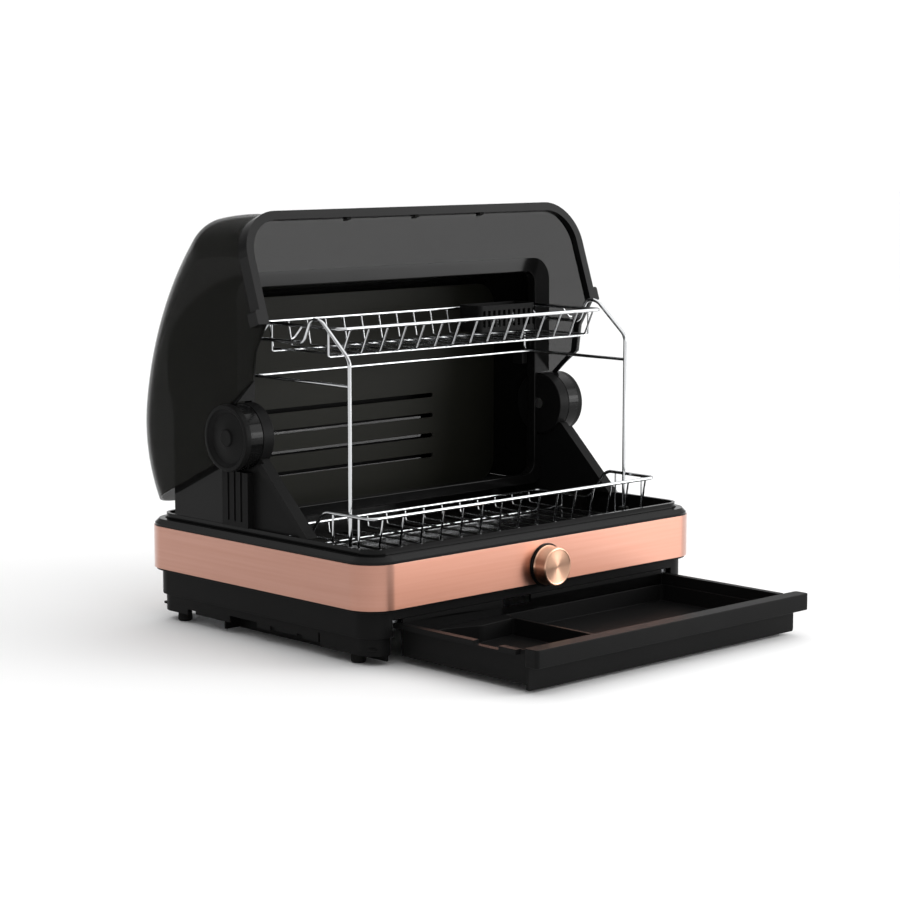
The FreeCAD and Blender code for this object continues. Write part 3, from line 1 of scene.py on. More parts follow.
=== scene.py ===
import bpy
import json
import math
from mathutils import Matrix, Vector


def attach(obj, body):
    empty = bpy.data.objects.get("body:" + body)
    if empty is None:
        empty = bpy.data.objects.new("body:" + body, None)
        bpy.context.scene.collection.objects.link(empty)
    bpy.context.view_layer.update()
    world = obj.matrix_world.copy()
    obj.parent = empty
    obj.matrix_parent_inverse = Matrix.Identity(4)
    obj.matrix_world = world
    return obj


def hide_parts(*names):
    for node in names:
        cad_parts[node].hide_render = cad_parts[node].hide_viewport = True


# Dish sterilizer cabinet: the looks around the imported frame, in metres.
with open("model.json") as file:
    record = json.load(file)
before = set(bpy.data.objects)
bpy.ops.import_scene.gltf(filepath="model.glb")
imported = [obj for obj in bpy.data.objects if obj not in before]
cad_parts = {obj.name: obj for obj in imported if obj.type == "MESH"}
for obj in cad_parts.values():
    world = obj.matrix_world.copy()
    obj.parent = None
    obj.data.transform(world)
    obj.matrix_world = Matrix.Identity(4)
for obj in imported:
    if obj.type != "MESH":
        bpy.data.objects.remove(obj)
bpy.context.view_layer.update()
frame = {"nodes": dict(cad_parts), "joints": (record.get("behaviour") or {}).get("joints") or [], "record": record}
mm = 0.001
onPlane = 0.1*mm     # a face or edge this near a plane lies on it
samePoint = 0.01*mm  # points this near each other are one
facing = 0.9         # a normal this far along an axis faces that way
straightOn = 0.05    # two runs away from a point that nearly cancel go straight on there
sides = {"left": -1, "right": 1}
print("stage: frame loaded")

# A finish is like this unless its own entry says otherwise.
plainFinish = {
    "metallic": 0, "ior": 1.5, "alpha": 1, "coat": 0, "coatRoughness": 0.05, "coatIor": 1.3,
    "anisotropic": 0, "brushTurn": 0, "turnedAbout": "", "stretch": (1, 1, 1), "brushed": False,
    "grainScale": 900, "grainDetail": 4, "driftScale": 9, "driftDetail": 3,
    "bump": 0, "bumpDepth": 0.0002,
}
finishes = {
    "satin_black": {"colours": ((0.006, 0.006, 0.006), (0.010, 0.010, 0.010)),
                    "roughness": (0.34, 0.5), "bump": 0.12, "grainScale": 1400, "ior": 1.14},
    "gloss_black": {"colours": ((0.004, 0.004, 0.004), (0.007, 0.007, 0.007)),
                    "roughness": (0.1, 0.15), "grainScale": 40, "ior": 1.21},
    "dark_panel": {"colours": ((0.012, 0.012, 0.009), (0.018, 0.018, 0.014)),
                   "roughness": (0.4, 0.55), "bump": 0.1, "ior": 1.2},
    "copper": {"colours": ((0.46, 0.195, 0.125), (0.54, 0.265, 0.19)), "metallic": 1,
               "roughness": (0.3, 0.38), "stretch": (1, 1, 60), "grainScale": 18, "brushed": True,
               "driftScale": 5, "bump": 0.02, "anisotropic": 0.8, "brushTurn": 0.25,
               "coat": 1, "coatIor": 1.6, "coatRoughness": 0.3},
    "copper_knob": {"colours": ((0.84, 0.48, 0.32), (0.9, 0.56, 0.4)), "metallic": 1,
                    "roughness": (0.3, 0.4), "grainScale": 400, "bump": 0.03, "anisotropic": 0.85,
                    "brushTurn": 0.25, "turnedAbout": "Y"},
    "smoked": {"colours": ((0.006, 0.006, 0.005), (0.009, 0.009, 0.007)),
               "roughness": (0.02, 0.05), "alpha": 0.715, "grainScale": 60, "ior": 1.12},
    "chrome": {"colours": ((0.62, 0.63, 0.64), (0.54, 0.55, 0.56)), "metallic": 1,
               "roughness": (0.05, 0.14), "grainScale": 300},
    "steel": {"colours": ((0.55, 0.55, 0.55), (0.48, 0.48, 0.48)), "metallic": 1,
              "roughness": (0.25, 0.4), "grainScale": 500, "bump": 0.05},
    "zinc": {"colours": ((0.50, 0.51, 0.53), (0.42, 0.43, 0.45)), "metallic": 1,
             "roughness": (0.3, 0.5), "grainScale": 60, "driftScale": 60},
    "rubber": {"colours": ((0.007, 0.007, 0.007), (0.012, 0.012, 0.011)),
               "roughness": (0.7, 0.9), "bump": 0.2, "grainScale": 1200, "ior": 1.2},
    "white_plastic": {"colours": ((0.70, 0.70, 0.67), (0.76, 0.75, 0.72)),
                      "roughness": (0.35, 0.5), "bump": 0.05},
    "lamp_glass": {"colours": ((0.75, 0.80, 0.88), (0.80, 0.84, 0.90)),
                   "roughness": (0.03, 0.08), "alpha": 0.45},
    "board": {"colours": ((0.03, 0.16, 0.06), (0.05, 0.20, 0.08)),
              "roughness": (0.3, 0.5), "grainScale": 200, "bump": 0.1},
}
# The shader's sockets that take a setting as it is.
plainSockets = {
    "Metallic": "metallic", "IOR": "ior", "Alpha": "alpha", "Coat Weight": "coat",
    "Coat Roughness": "coatRoughness", "Coat IOR": "coatIor", "Anisotropic": "anisotropic",
    "Anisotropic Rotation": "brushTurn",
}


def addNoise(tree, place, scale, detail):
    noise = tree.nodes.new("ShaderNodeTexNoise")
    noise.inputs["Scale"].default_value = scale
    noise.inputs["Detail"].default_value = detail
    tree.links.new(place, noise.inputs["Vector"])
    return noise.outputs["Fac"]


def newMaterial(name, settings):
    # A Principled material whose tone, roughness and bump are broken up by fine noise.
    finish = {**plainFinish, **settings}
    material = bpy.data.materials.new(name)
    material.use_nodes = True
    tree = material.node_tree
    nodes, links = tree.nodes, tree.links
    shader = nodes["Principled BSDF"]
    for socket, setting in plainSockets.items():
        shader.inputs[socket].default_value = finish[setting]
    if finish["turnedAbout"]:
        around = nodes.new("ShaderNodeTangent")
        around.direction_type = "RADIAL"
        around.axis = finish["turnedAbout"]
        links.new(around.outputs["Tangent"], shader.inputs["Tangent"])
    place = nodes.new("ShaderNodeTexCoord").outputs["Object"]
    stretch = nodes.new("ShaderNodeMapping")
    stretch.inputs["Scale"].default_value = finish["stretch"]
    links.new(place, stretch.inputs["Vector"])
    stretched = stretch.outputs["Vector"]
    grain = addNoise(tree, stretched, finish["grainScale"], finish["grainDetail"])
    drift = addNoise(tree, stretched if finish["brushed"] else place,
                     finish["driftScale"], finish["driftDetail"])
    tone = nodes.new("ShaderNodeMix")
    tone.data_type = "RGBA"
    tone.inputs["A"].default_value = (*finish["colours"][0], 1)
    tone.inputs["B"].default_value = (*finish["colours"][1], 1)
    links.new(drift, tone.inputs["Factor"])
    links.new(tone.outputs["Result"], shader.inputs["Base Color"])
    rough = nodes.new("ShaderNodeMapRange")
    smoothest, roughest = finish["roughness"]
    rough.inputs["To Min"].default_value = smoothest
    rough.inputs["To Max"].default_value = roughest
    links.new(grain, rough.inputs["Value"])
    links.new(rough.outputs["Result"], shader.inputs["Roughness"])
    if finish["bump"]:
        bump = nodes.new("ShaderNodeBump")
        bump.inputs["Strength"].default_value = finish["bump"]
        bump.inputs["Distance"].default_value = finish["bumpDepth"]
        links.new(grain, bump.inputs["Height"])
        links.new(bump.outputs["Normal"], shader.inputs["Normal"])
    return material


materials = {name: newMaterial(name, settings) for name, settings in finishes.items()}
slotOf = {part["node"]: part["material_slot"] for part in frame["record"]["subparts"]}
for name, node in frame["nodes"].items():
    node.data.materials.clear()
    node.data.materials.append(materials[slotOf[name]])
print("stage: materials made")


def editMode():
    bpy.ops.object.mode_set(mode="EDIT")


def objectMode():
    bpy.ops.object.mode_set(mode="OBJECT")


def selectAll():
    bpy.ops.mesh.select_all(action="SELECT")


def deselect():
    if bpy.context.object and bpy.context.object.mode == "EDIT":
        objectMode()
    bpy.ops.object.select_all(action="DESELECT")


def activate(piece):
    deselect()
    piece.select_set(True)
    bpy.context.view_layer.objects.active = piece


def selectWhere(piece, test, kind="FACE"):
    # Selects faces or edges by a test on their middle and on their normal or run.
    activate(piece)
    editMode()
    bpy.ops.mesh.select_mode(type=kind)
    bpy.ops.mesh.select_all(action="DESELECT")
    objectMode()
    mesh = piece.data
    if kind == "FACE":
        for face in mesh.polygons:
            face.select = bool(test(face.center, face.normal))
    else:
        for edge in mesh.edges:
            first, last = (mesh.vertices[number].co for number in edge.vertices)
            edge.select = bool(test((first + last)/2, last - first))
    editMode()


def bevelEdges(piece, test, width, steps):
    selectWhere(piece, test, "EDGE")
    bpy.ops.mesh.bevel(offset=width, segments=steps, affect="EDGES")
    objectMode()


def roundedPlane(name, low, high, height, corner, steps=8):
    # A flat rounded rectangle between two corners, left in edit mode with its face selected.
    deselect()
    middle = ((low[0] + high[0])/2, (low[1] + high[1])/2, height)
    bpy.ops.mesh.primitive_plane_add(size=1, location=middle)
    piece = bpy.context.object
    piece.name = name
    editMode()
    bpy.ops.transform.resize(value=(high[0] - low[0], high[1] - low[1], 1))
    if corner:
        bpy.ops.mesh.bevel(offset=corner, segments=steps, affect="VERTICES")
    selectAll()
    return piece


def step(inset, rise):
    # One step of a moulded wall: the selected face is narrowed, then raised or sunk.
    if inset:
        bpy.ops.mesh.inset(thickness=inset, depth=0, use_even_offset=True)
    else:
        bpy.ops.mesh.extrude_region_move()
    if rise:
        bpy.ops.transform.translate(value=(0, 0, rise))


def turnOutwards():
    selectAll()
    bpy.ops.mesh.remove_doubles(threshold=samePoint)
    bpy.ops.mesh.normals_make_consistent(inside=False)
    objectMode()


def applyPlace(piece):
    activate(piece)
    bpy.ops.object.transform_apply(location=True, rotation=True, scale=True)


def block(name, low, high, corner=0, steps=6):
    # A block between two corners, its upright edges rounded.
    piece = roundedPlane(name, low[:2], high[:2], low[2], corner, steps)
    step(0, high[2] - low[2])
    turnOutwards()
    applyPlace(piece)
    return piece


def blockInMm(name, corners, corner=0, steps=6):
    low, high = [[length*mm for length in place] for place in corners]
    return block(name, low, high, corner, steps)


def addModifier(piece, kind, **settings):
    activate(piece)
    modifier = piece.modifiers.new(kind.title(), kind)
    for setting, value in settings.items():
        setattr(modifier, setting, value)
    bpy.ops.object.modifier_apply(modifier=modifier.name)


def thinWalled(piece, isOpen, wall):
    # Takes the open faces away and gives what is left its wall, inwards.
    selectWhere(piece, isOpen)
    bpy.ops.mesh.delete(type="FACE")
    turnOutwards()
    addModifier(piece, "SOLIDIFY", thickness=wall, offset=-1, use_even_offset=True)


def softenEdges(piece, width, steps, sharp):
    addModifier(piece, "BEVEL", width=width, segments=steps, limit_method="ANGLE",
                angle_limit=math.radians(sharp), harden_normals=False)


def combine(piece, operation, others):
    for other in others:
        addModifier(piece, "BOOLEAN", operation=operation, object=other, solver="EXACT")
        bpy.data.objects.remove(other)
    return piece


def carve(piece, *cutters):
    return combine(piece, "DIFFERENCE", cutters)


def weld(piece, *others):
    return combine(piece, "UNION", others)


def joinPieces(piece, *others):
    activate(piece)
    for other in others:
        other.select_set(True)
    bpy.ops.object.join()
    return piece


def placed(piece, matrix):
    piece.matrix_world = matrix @ piece.matrix_world
    applyPlace(piece)
    return piece


def standUp(piece):
    # Turns a piece that was modelled lying down, so that its plan faces the front.
    return placed(piece, Matrix.Rotation(math.radians(90), 4, "X"))


def copyOf(piece):
    # A copy with its own mesh.
    activate(piece)
    bpy.ops.object.duplicate()
    return bpy.context.object


def mirroredCopy(piece):
    # The same piece for the body's other side, its faces turned outwards again.
    copy = copyOf(piece)
    copy.scale.x = -1
    applyPlace(copy)
    editMode()
    turnOutwards()
    return copy


def rowOf(piece, places):
    # The piece is copied to each place, and the copies are joined into one.
    copies = [placed(copyOf(piece), Matrix.Translation(place)) for place in places[1:]]
    placed(piece, Matrix.Translation(places[0]))
    return joinPieces(piece, *copies)


def spreadOut(reach, count):
    # Even places from one side of the middle to the other.
    return [reach*(2*number/(count - 1) - 1) for number in range(count)]


def startPoint(name, place):
    # A piece that is a single selected vertex, ready to be drawn out.
    deselect()
    bpy.ops.mesh.primitive_plane_add(size=mm, location=place)
    piece = bpy.context.object
    piece.name = name
    bpy.ops.object.transform_apply(location=True)
    editMode()
    bpy.ops.mesh.select_mode(type="VERT")
    selectAll()
    bpy.ops.mesh.merge(type="CENTER")
    return piece


def drawArc(centre, degrees, steps):
    bpy.ops.mesh.spin(steps=steps, angle=math.radians(degrees), center=centre, axis=(-1, 0, 0))


def drawOut(run):
    bpy.ops.mesh.extrude_region_move(TRANSFORM_OT_translate={"value": run})


def drawAlong(places):
    for start, end in zip(places, places[1:]):
        drawOut(end - start)


def fillOutline():
    selectAll()
    bpy.ops.mesh.remove_doubles(threshold=samePoint)
    bpy.ops.mesh.edge_face_add()


def turned(name, centre, axis, profile, steps=72):
    # A turned piece: its profile, as (along, radius) pairs in mm, is spun about an axis.
    centre, axis = Vector(centre), Vector(axis)
    across = Vector((1, 0, 0)) if axis.z else Vector((0, 0, 1))
    places = [centre + axis*along*mm + across*radius*mm for along, radius in profile]
    piece = startPoint(name, places[0])
    drawAlong(places)
    selectAll()
    bpy.ops.mesh.spin(steps=steps, angle=2*math.pi, center=centre, axis=axis)
    turnOutwards()
    return piece


def profiled(name, outline, reach, side=1):
    # A side outline, given by its (y, z) corners in mm, drawn out across the body.
    low, high = sorted(side*end for end in reach)
    places = [Vector((low, y, z))*mm for y, z in outline]
    piece = startPoint(name, places[0])
    drawAlong(places + places[:1])
    fillOutline()
    drawOut(((high - low)*mm, 0, 0))
    turnOutwards()
    return piece


def bentWire(name, path, diameter, bend, bendSteps=6, roundness=4):
    # A round wire along straight runs given in mm, its corners bent and its ends capped.
    places = [Vector(place)*mm for place in path]
    piece = startPoint(name, places[0])
    drawAlong(places)
    selectAll()
    bpy.ops.mesh.remove_doubles(threshold=samePoint)
    objectMode()
    mesh = piece.data
    spans = {point.index: [] for point in mesh.vertices}
    for edge in mesh.edges:
        start, end = (mesh.vertices[number].co for number in edge.vertices)
        spans[edge.vertices[0]].append((end - start).normalized())
        spans[edge.vertices[1]].append((start - end).normalized())
        edge.select = False
    for point in mesh.vertices:
        ways = spans[point.index]
        point.select = len(ways) == 2 and (ways[0] + ways[1]).length > straightOn
    editMode()
    bpy.ops.mesh.select_mode(type="VERT")
    bpy.ops.mesh.bevel(offset=bend*mm, segments=bendSteps, affect="VERTICES")
    activate(piece)
    bpy.ops.object.convert(target="CURVE")
    wire = bpy.context.object
    wire.data.bevel_depth = diameter*mm/2
    wire.data.bevel_resolution = roundness
    wire.data.use_fill_caps = True
    bpy.ops.object.convert(target="MESH")
    wire = bpy.context.object
    editMode()
    turnOutwards()
    return wire


def finishPiece(piece, body, slotName, replaced=(), bevel=0.4*mm, sharp=35, steps=2):
    # Softens the edges, smooths the curves and ties the piece to its body and material.
    applyPlace(piece)
    if bevel:
        softenEdges(piece, bevel, steps, sharp)
    activate(piece)
    bpy.ops.object.shade_smooth_by_angle(angle=math.radians(sharp))
    addModifier(piece, "WEIGHTED_NORMAL", keep_sharp=True)
    piece.data.materials.clear()
    piece.data.materials.append(materials[slotName])
    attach(piece, body)
    if replaced:
        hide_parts(*replaced)


hingePlace = Vector(next(joint["pos_m"] for joint in frame["joints"]
                         if joint["name"] == "lid_hinge"))
# Places on the closed lid are (across, up) from the hinge. Angles are of the lid thrown open.
lid = {
    "halfWidth": 248*mm, "wall": 3*mm, "corner": 45*mm, "cornerSteps": 12, "openAngle": 108.6,
    "rearRadius": 178*mm, "rearAngle": -30, "rearSteps": 12,
    "crownAngle": 9, "frontRadius": 357*mm, "crownSteps": 16,
    "shoulderAngle": 42.5, "shoulderRadius": 50*mm, "shoulderSteps": 10,
    "lipAngle": 80, "lip": (-215*mm, -94*mm), "lipSteps": 6, "nose": (-98*mm, -94*mm),
    "knee": ((-76*mm, -68*mm), (-48*mm, -54*mm)),
    "hubRadius": 35.5*mm, "hubEnter": 90, "hubLeave": -52, "hubSteps": 30,
    "arcFrom": 150*mm, "arcAbove": -93.8*mm, "arcLean": 0.3, "level": 0.01,
}


def opened(across, up):
    # A place of the closed lid, measured from the hinge, swung open with it.
    turn = math.radians(-lid["openAngle"])
    return Vector((0, hingePlace.y + across*math.cos(turn) - up*math.sin(turn),
                   hingePlace.z + across*math.sin(turn) + up*math.cos(turn)))


def closed(place):
    turn = math.radians(lid["openAngle"])
    across, up = place.y - hingePlace.y, place.z - hingePlace.z
    return across*math.cos(turn) - up*math.sin(turn), across*math.sin(turn) + up*math.cos(turn)


def thrownBack(piece):
    # Turns a piece that was modelled on the closed lid to where the lid rests.
    turn = Matrix.Rotation(math.radians(-lid["openAngle"]), 4, "X")
    return placed(piece, Matrix.Translation(hingePlace) @ turn @ Matrix.Translation(-hingePlace))


def onCircle(centre, radius, degrees):
    turn = math.radians(degrees)
    return centre + Vector((0, math.cos(turn), math.sin(turn)))*radius


def lidOutline():
    # The lid's side outline, thrown open, drawn from its rear edge over the crown to the lip.
    start = onCircle(hingePlace, lid["rearRadius"], lid["rearAngle"])
    piece = startPoint("lidShell", start)
    drawArc(hingePlace, lid["crownAngle"] - lid["rearAngle"], lid["rearSteps"])
    frontCentre = onCircle(hingePlace, lid["rearRadius"] - lid["frontRadius"], lid["crownAngle"])
    drawArc(frontCentre, lid["shoulderAngle"] - lid["crownAngle"], lid["crownSteps"])
    shoulderCentre = onCircle(frontCentre, lid["frontRadius"] - lid["shoulderRadius"],
                              lid["shoulderAngle"])
    drawArc(shoulderCentre, lid["lipAngle"] - lid["shoulderAngle"], lid["shoulderSteps"])
    lipStart = onCircle(shoulderCentre, lid["shoulderRadius"], lid["lipAngle"])
    lipEnd = opened(*lid["lip"])
    outward = onCircle(Vector(), 1, lid["lipAngle"])
    chord = lipEnd - lipStart
    lipCentre = lipStart + outward*chord.length_squared/(2*chord.dot(outward))
    lipTurn = math.degrees((lipStart - lipCentre).angle(lipEnd - lipCentre))
    drawArc(lipCentre, lipTurn, lid["lipSteps"])
    hubStart = onCircle(hingePlace, lid["hubRadius"], lid["hubEnter"])
    hubEnd = onCircle(hingePlace, lid["hubRadius"], lid["hubLeave"])
    corners = [opened(*corner) for corner in (lid["nose"], *lid["knee"])]
    drawAlong([lipEnd, *corners, hubStart])
    drawArc(hingePlace, lid["hubLeave"] + 360 - lid["hubEnter"], lid["hubSteps"])
    drawAlong([hubEnd, start])
    fillOutline()
    return piece


def onArcWall(place):
    across, up = closed(place)
    return math.hypot(across, up) > lid["arcFrom"] and up > lid["arcAbove"]


def isSideEdge(middle, span):
    return (abs(abs(middle.x) - lid["halfWidth"]) < onPlane and abs(span.x) < onPlane
            and onArcWall(middle))


def isOpenSide(middle, normal):
    # A face of the mouth, the knee or the hub's round, and not of the arc wall or a side panel.
    outward = (middle - hingePlace).normalized()
    isArc = onArcWall(middle) and abs(normal.dot(outward)) > lid["arcLean"]
    return abs(normal.x) < lid["level"] and not isArc


def makeLidShell():
    piece = lidOutline()
    bpy.ops.transform.translate(value=(-lid["halfWidth"], 0, 0))
    drawOut((2*lid["halfWidth"], 0, 0))
    bevelEdges(piece, isSideEdge, lid["corner"], lid["cornerSteps"])
    thinWalled(piece, isOpenSide, lid["wall"])
    finishPiece(piece, "lid", "smoked", ["lid_shell"], bevel=0.6*mm, sharp=40)


lidEdge = {"width": 9, "lap": 0.6, "reach": (243, 245.1), "hubLap": 1*mm, "hubTurn": 6}


def makeLidEdges():
    # The opaque border down each side of the lid's mouth, from the rim to the hub.
    path = [opened(*corner) for corner in (lid["nose"], *lid["knee"])]
    path.append(onCircle(hingePlace, lid["hubRadius"] - lidEdge["hubLap"],
                         lid["hubEnter"] + lidEdge["hubTurn"]))
    front = [(place.y/mm, place.z/mm) for place in path]
    outline = [(y + lidEdge["lap"], z) for y, z in front]
    outline += [(y + lidEdge["width"], z) for y, z in reversed(front)]
    strip = profiled("lidEdges", outline, lidEdge["reach"])
    joinPieces(strip, mirroredCopy(strip))
    finishPiece(strip, "lid", "gloss_black", bevel=0.5*mm)


rim = {
    "halfWidth": 251.5*mm, "front": -185.5*mm, "nose": -65*mm, "corner": 48.5*mm,
    "cornerSteps": 14, "low": 119.5*mm, "flange": 14.5*mm, "flangeWall": 3.5*mm,
    "mouth": 121.5*mm, "seat": 3*mm, "lip": 5*mm, "lipWall": 3*mm,
    "earReach": 257*mm, "earLap": 1*mm, "earLength": 16*mm, "earCorner": 2.6*mm,
}


def makeLidRim():
    # The channel round the lid's mouth, modelled on the closed lid from its lower edge upwards.
    low, nose = rim["low"], rim["nose"]
    piece = roundedPlane("lidRim", (-rim["halfWidth"], rim["front"]),
                         (rim["halfWidth"], nose + 2*rim["corner"]), low,
                         rim["corner"], rim["cornerSteps"])
    step(0, rim["flange"])
    step(rim["flangeWall"], 0)
    step(0, rim["mouth"] - low - rim["flange"])
    step(rim["seat"], 0)
    step(0, rim["lip"])
    step(rim["lipWall"], 0)
    step(0, low - rim["mouth"] - rim["lip"])
    bpy.ops.mesh.delete(type="FACE")
    applyPlace(piece)
    selectWhere(piece, lambda middle, normal: abs(normal.z) > facing
                and abs(middle.x) < onPlane and middle.z < low + onPlane)
    bpy.ops.mesh.delete(type="FACE")
    selectWhere(piece, lambda middle, span: middle.z < low + onPlane, "EDGE")
    bpy.ops.mesh.bridge_edge_loops()
    selectAll()
    bpy.ops.mesh.bisect(plane_co=(0, nose, 0), plane_no=(0, 1, 0), clear_outer=True,
                        use_fill=True)
    turnOutwards()
    for side in sides.values():
        ends = sorted((side*(rim["halfWidth"] - rim["earLap"]), side*rim["earReach"]))
        weld(piece, block("ear", (ends[0], nose - rim["earLength"], low),
                          (ends[1], nose, low + rim["flange"]), rim["earCorner"]))
    thrownBack(piece)
    finishPiece(piece, "lid", "gloss_black", ["lid_rim"], bevel=0.7*mm, sharp=40, steps=3)


bumper = {"pitch": 100*mm, "count": 3, "corner": 0.9*mm,
          "size": ((-3.5, -176, 121.5), (3.5, -174, 128.5))}


def makeBumpers():
    pad = blockInMm("lidBumpers", bumper["size"], bumper["corner"])
    rowOf(pad, [(x, 0, 0) for x in spreadOut(bumper["pitch"], bumper["count"])])
    thrownBack(pad)
    finishPiece(pad, "lid", "rubber", ["lid_bumpers"])


hub = {
    "steps": 96,
    "drum": ((231.9, 6.1), (231.9, 34.9), (232.5, 35.5), (248, 35.5), (248, 6.1), (231.9, 6.1)),
    "cap": ((248, 0), (248, 35.5), (253.6, 35.5), (254.6, 35.1), (255, 34.2), (255, 31.6),
            (254.6, 31), (253.2, 30.4), (251.2, 27.8), (250.6, 27), (251.4, 18), (252.6, 10.2),
            (253, 9.6), (254.4, 9.2), (255, 8.4), (255, 2.6), (254.6, 0)),
}


def makeHubs():
    for name, side in sides.items():
        drum = turned("lidHub." + name, hingePlace, (side, 0, 0), hub["drum"], hub["steps"])
        finishPiece(drum, "lid", "gloss_black", ["lid_hub_" + name], bevel=0)
        cap = turned("hingeCap." + name, hingePlace, (side, 0, 0), hub["cap"], hub["steps"])
        finishPiece(cap, "lid", "satin_black", ["hinge_cap_" + name], bevel=0, sharp=30)


makeLidShell()
makeLidEdges()
makeLidRim()
makeBumpers()
makeHubs()
print("stage: lid made")

body = {"halfX": 250*mm, "halfY": 190*mm, "corner": 34*mm, "cornerSteps": 14,
        "knobHeight": 78*mm, "shaftRoom": 3.4, "drill": (-5, 15), "drillSteps": 32}


def bodyPlan(name, inset, height):
    # The body's rounded plan, narrowed by the inset, ready to be raised or sunk.
    return roundedPlane(name, (inset - body["halfX"], inset - body["halfY"]),
                        (body["halfX"] - inset, body["halfY"] - inset), height,
                        body["corner"] - inset, body["cornerSteps"])


def planBlock(name, inset, low, high):
    piece = bodyPlan(name, inset, low)
    step(0, high - low)
    turnOutwards()
    applyPlace(piece)
    return piece


def shaftDrill():
    # Cuts the room of the timer's shaft through the front wall.
    start, end = body["drill"]
    room = body["shaftRoom"]
    return turned("drill", (0, -body["halfY"], body["knobHeight"]), (0, 1, 0),
                  ((start, 0), (start, room), (end, room), (end, 0)), body["drillSteps"])


band = {"low": 59*mm, "high": 105.8*mm, "wall": 1.2*mm}


def makeTrimBand():
    piece = planBlock("trimBand", 0, band["low"], band["high"])
    thinWalled(piece, lambda middle, normal: abs(normal.z) > facing, band["wall"])
    carve(piece, shaftDrill())
    finishPiece(piece, "base", "copper", ["trim_band"], bevel=0.35*mm)


shell = {
    "inset": 1.2*mm, "low": 59*mm, "chamfer": 4.5*mm, "deckTop": 113*mm,
    "grooveInset": 6.7*mm, "grooveWidth": 1.6*mm, "grooveDepth": 1.5*mm,
    "ridgeRise": 6*mm, "ridgeWidth": 3.5*mm,
    "basinInset": 17.5*mm, "basinBack": 118*mm, "basinFloor": 95*mm, "basinTop": 125*mm,
    "basinCorner": 16*mm, "basinSteps": 10, "underInset": 3.7*mm, "underLow": 50*mm,
    "underTop": 92.5*mm,
}
# One of the slots that let the warm air up through the basin's floor.
vent = {"size": ((-4, 0, 90), (4, 40, 98)), "corner": 3.8*mm, "reach": 88*mm, "count": 9}


def makeUpperShell():
    piece = bodyPlan("upperShell", shell["inset"], shell["low"])
    step(0, shell["deckTop"] - shell["chamfer"] - shell["low"])
    step(shell["chamfer"], shell["chamfer"])
    step(shell["grooveInset"], 0)
    step(0, -shell["grooveDepth"])
    step(shell["grooveWidth"], 0)
    step(0, shell["grooveDepth"] + shell["ridgeRise"])
    step(shell["ridgeWidth"], 0)
    step(0, -shell["ridgeRise"])
    applyPlace(piece)
    inset = shell["basinInset"]
    basin = block("basin", (inset - body["halfX"], inset - body["halfY"], shell["basinFloor"]),
                  (body["halfX"] - inset, shell["basinBack"], shell["basinTop"]),
                  shell["basinCorner"], shell["basinSteps"])
    hollow = planBlock("hollow", shell["underInset"], shell["underLow"], shell["underTop"])
    slots = rowOf(blockInMm("vents", vent["size"], vent["corner"]),
                  [(x, 0, 0) for x in spreadOut(vent["reach"], vent["count"])])
    carve(piece, basin, hollow, shaftDrill(), slots)
    finishPiece(piece, "base", "gloss_black", ["upper_shell"], bevel=0.5*mm, steps=3)


housing = {
    "inset": 9*mm, "top": 59*mm, "ledge": 29*mm, "ledgeWidth": 4*mm, "low": 10*mm,
    "wall": 2.5*mm, "flangeInset": 2.4*mm, "flangeLow": 56.5*mm, "flangeHollow": 11.4*mm,
    # Cut out of it: the drawer's opening and the gap in the back of the skirt, in mm.
    "opening": ((-212, -200, 0), (212, -165, 46.4)), "backGap": ((-170, 165, -5), (170, 195, 17)),
    # Set in it: the wall beside the drawer's bay, the wall behind it and two floor strips, in mm.
    "bayWall": ((212, -174, 3), (214.5, 64, 58.8)), "bulkhead": ((-233, 64, 3), (233, 66.5, 58.8)),
    "floors": (((212, -174, 16), (234, -97, 18.5)), ((212, 137, 16), (234, 174, 18.5))),
    "floorCorner": 3*mm,
}
# The skirt's lower edge along each side: from, to and the height that is cut away, in mm.
skirt = {"reach": 260, "below": -10,
         "cuts": ((-97, -94, 24), (-94, -68, 14), (-68, -60, 18), (-60, -24, 15.5),
                  (-24, -16, 19), (-16, 6, 14), (6, 52, 20), (52, 112, 12.5), (112, 126, 16))}


def skirtCutter():
    cuts = skirt["cuts"]
    outline = [(cuts[0][0], skirt["below"])]
    for start, end, height in cuts:
        outline += [(start, height), (end, height)]
    outline.append((cuts[-1][1], skirt["below"]))
    return profiled("skirtCutter", outline, (-skirt["reach"], skirt["reach"]))


def makeLowerHousing():
    top, ledge = housing["top"], housing["ledge"]
    piece = bodyPlan("lowerHousing", housing["inset"], top)
    step(0, ledge - top)
    step(housing["ledgeWidth"], 0)
    step(0, housing["low"] - ledge)
    applyPlace(piece)
    thinWalled(piece, lambda middle, normal: abs(normal.z) > facing
               and abs(middle.z - ledge) > housing["ledgeWidth"], housing["wall"])
    carve(piece, blockInMm("opening", housing["opening"]), skirtCutter(),
          blockInMm("backGap", housing["backGap"]))
    flange = planBlock("flange", housing["flangeInset"], housing["flangeLow"], top)
    carve(flange, planBlock("hollow", housing["flangeHollow"], 0, 2*top))
    walls = [blockInMm("bayWall", housing["bayWall"])]
    walls += [blockInMm("floor", corners, housing["floorCorner"]) for corners in housing["floors"]]
    walls += [mirroredCopy(wall) for wall in walls]
    joinPieces(piece, flange, blockInMm("bulkhead", housing["bulkhead"]), *walls)
    finishPiece(piece, "base", "satin_black", ["lower_housing"], bevel=0.6*mm)


foot = {
    "places": ((-225.5, -143.5), (225.5, -143.5), (-225.5, 145), (225.5, 145)), "steps": 40,
    "profile": ((0, 0), (0, 6.6), (0.5, 7.4), (1.4, 7.9), (2.4, 8), (8, 7.6), (10, 7.6), (10, 0)),
}


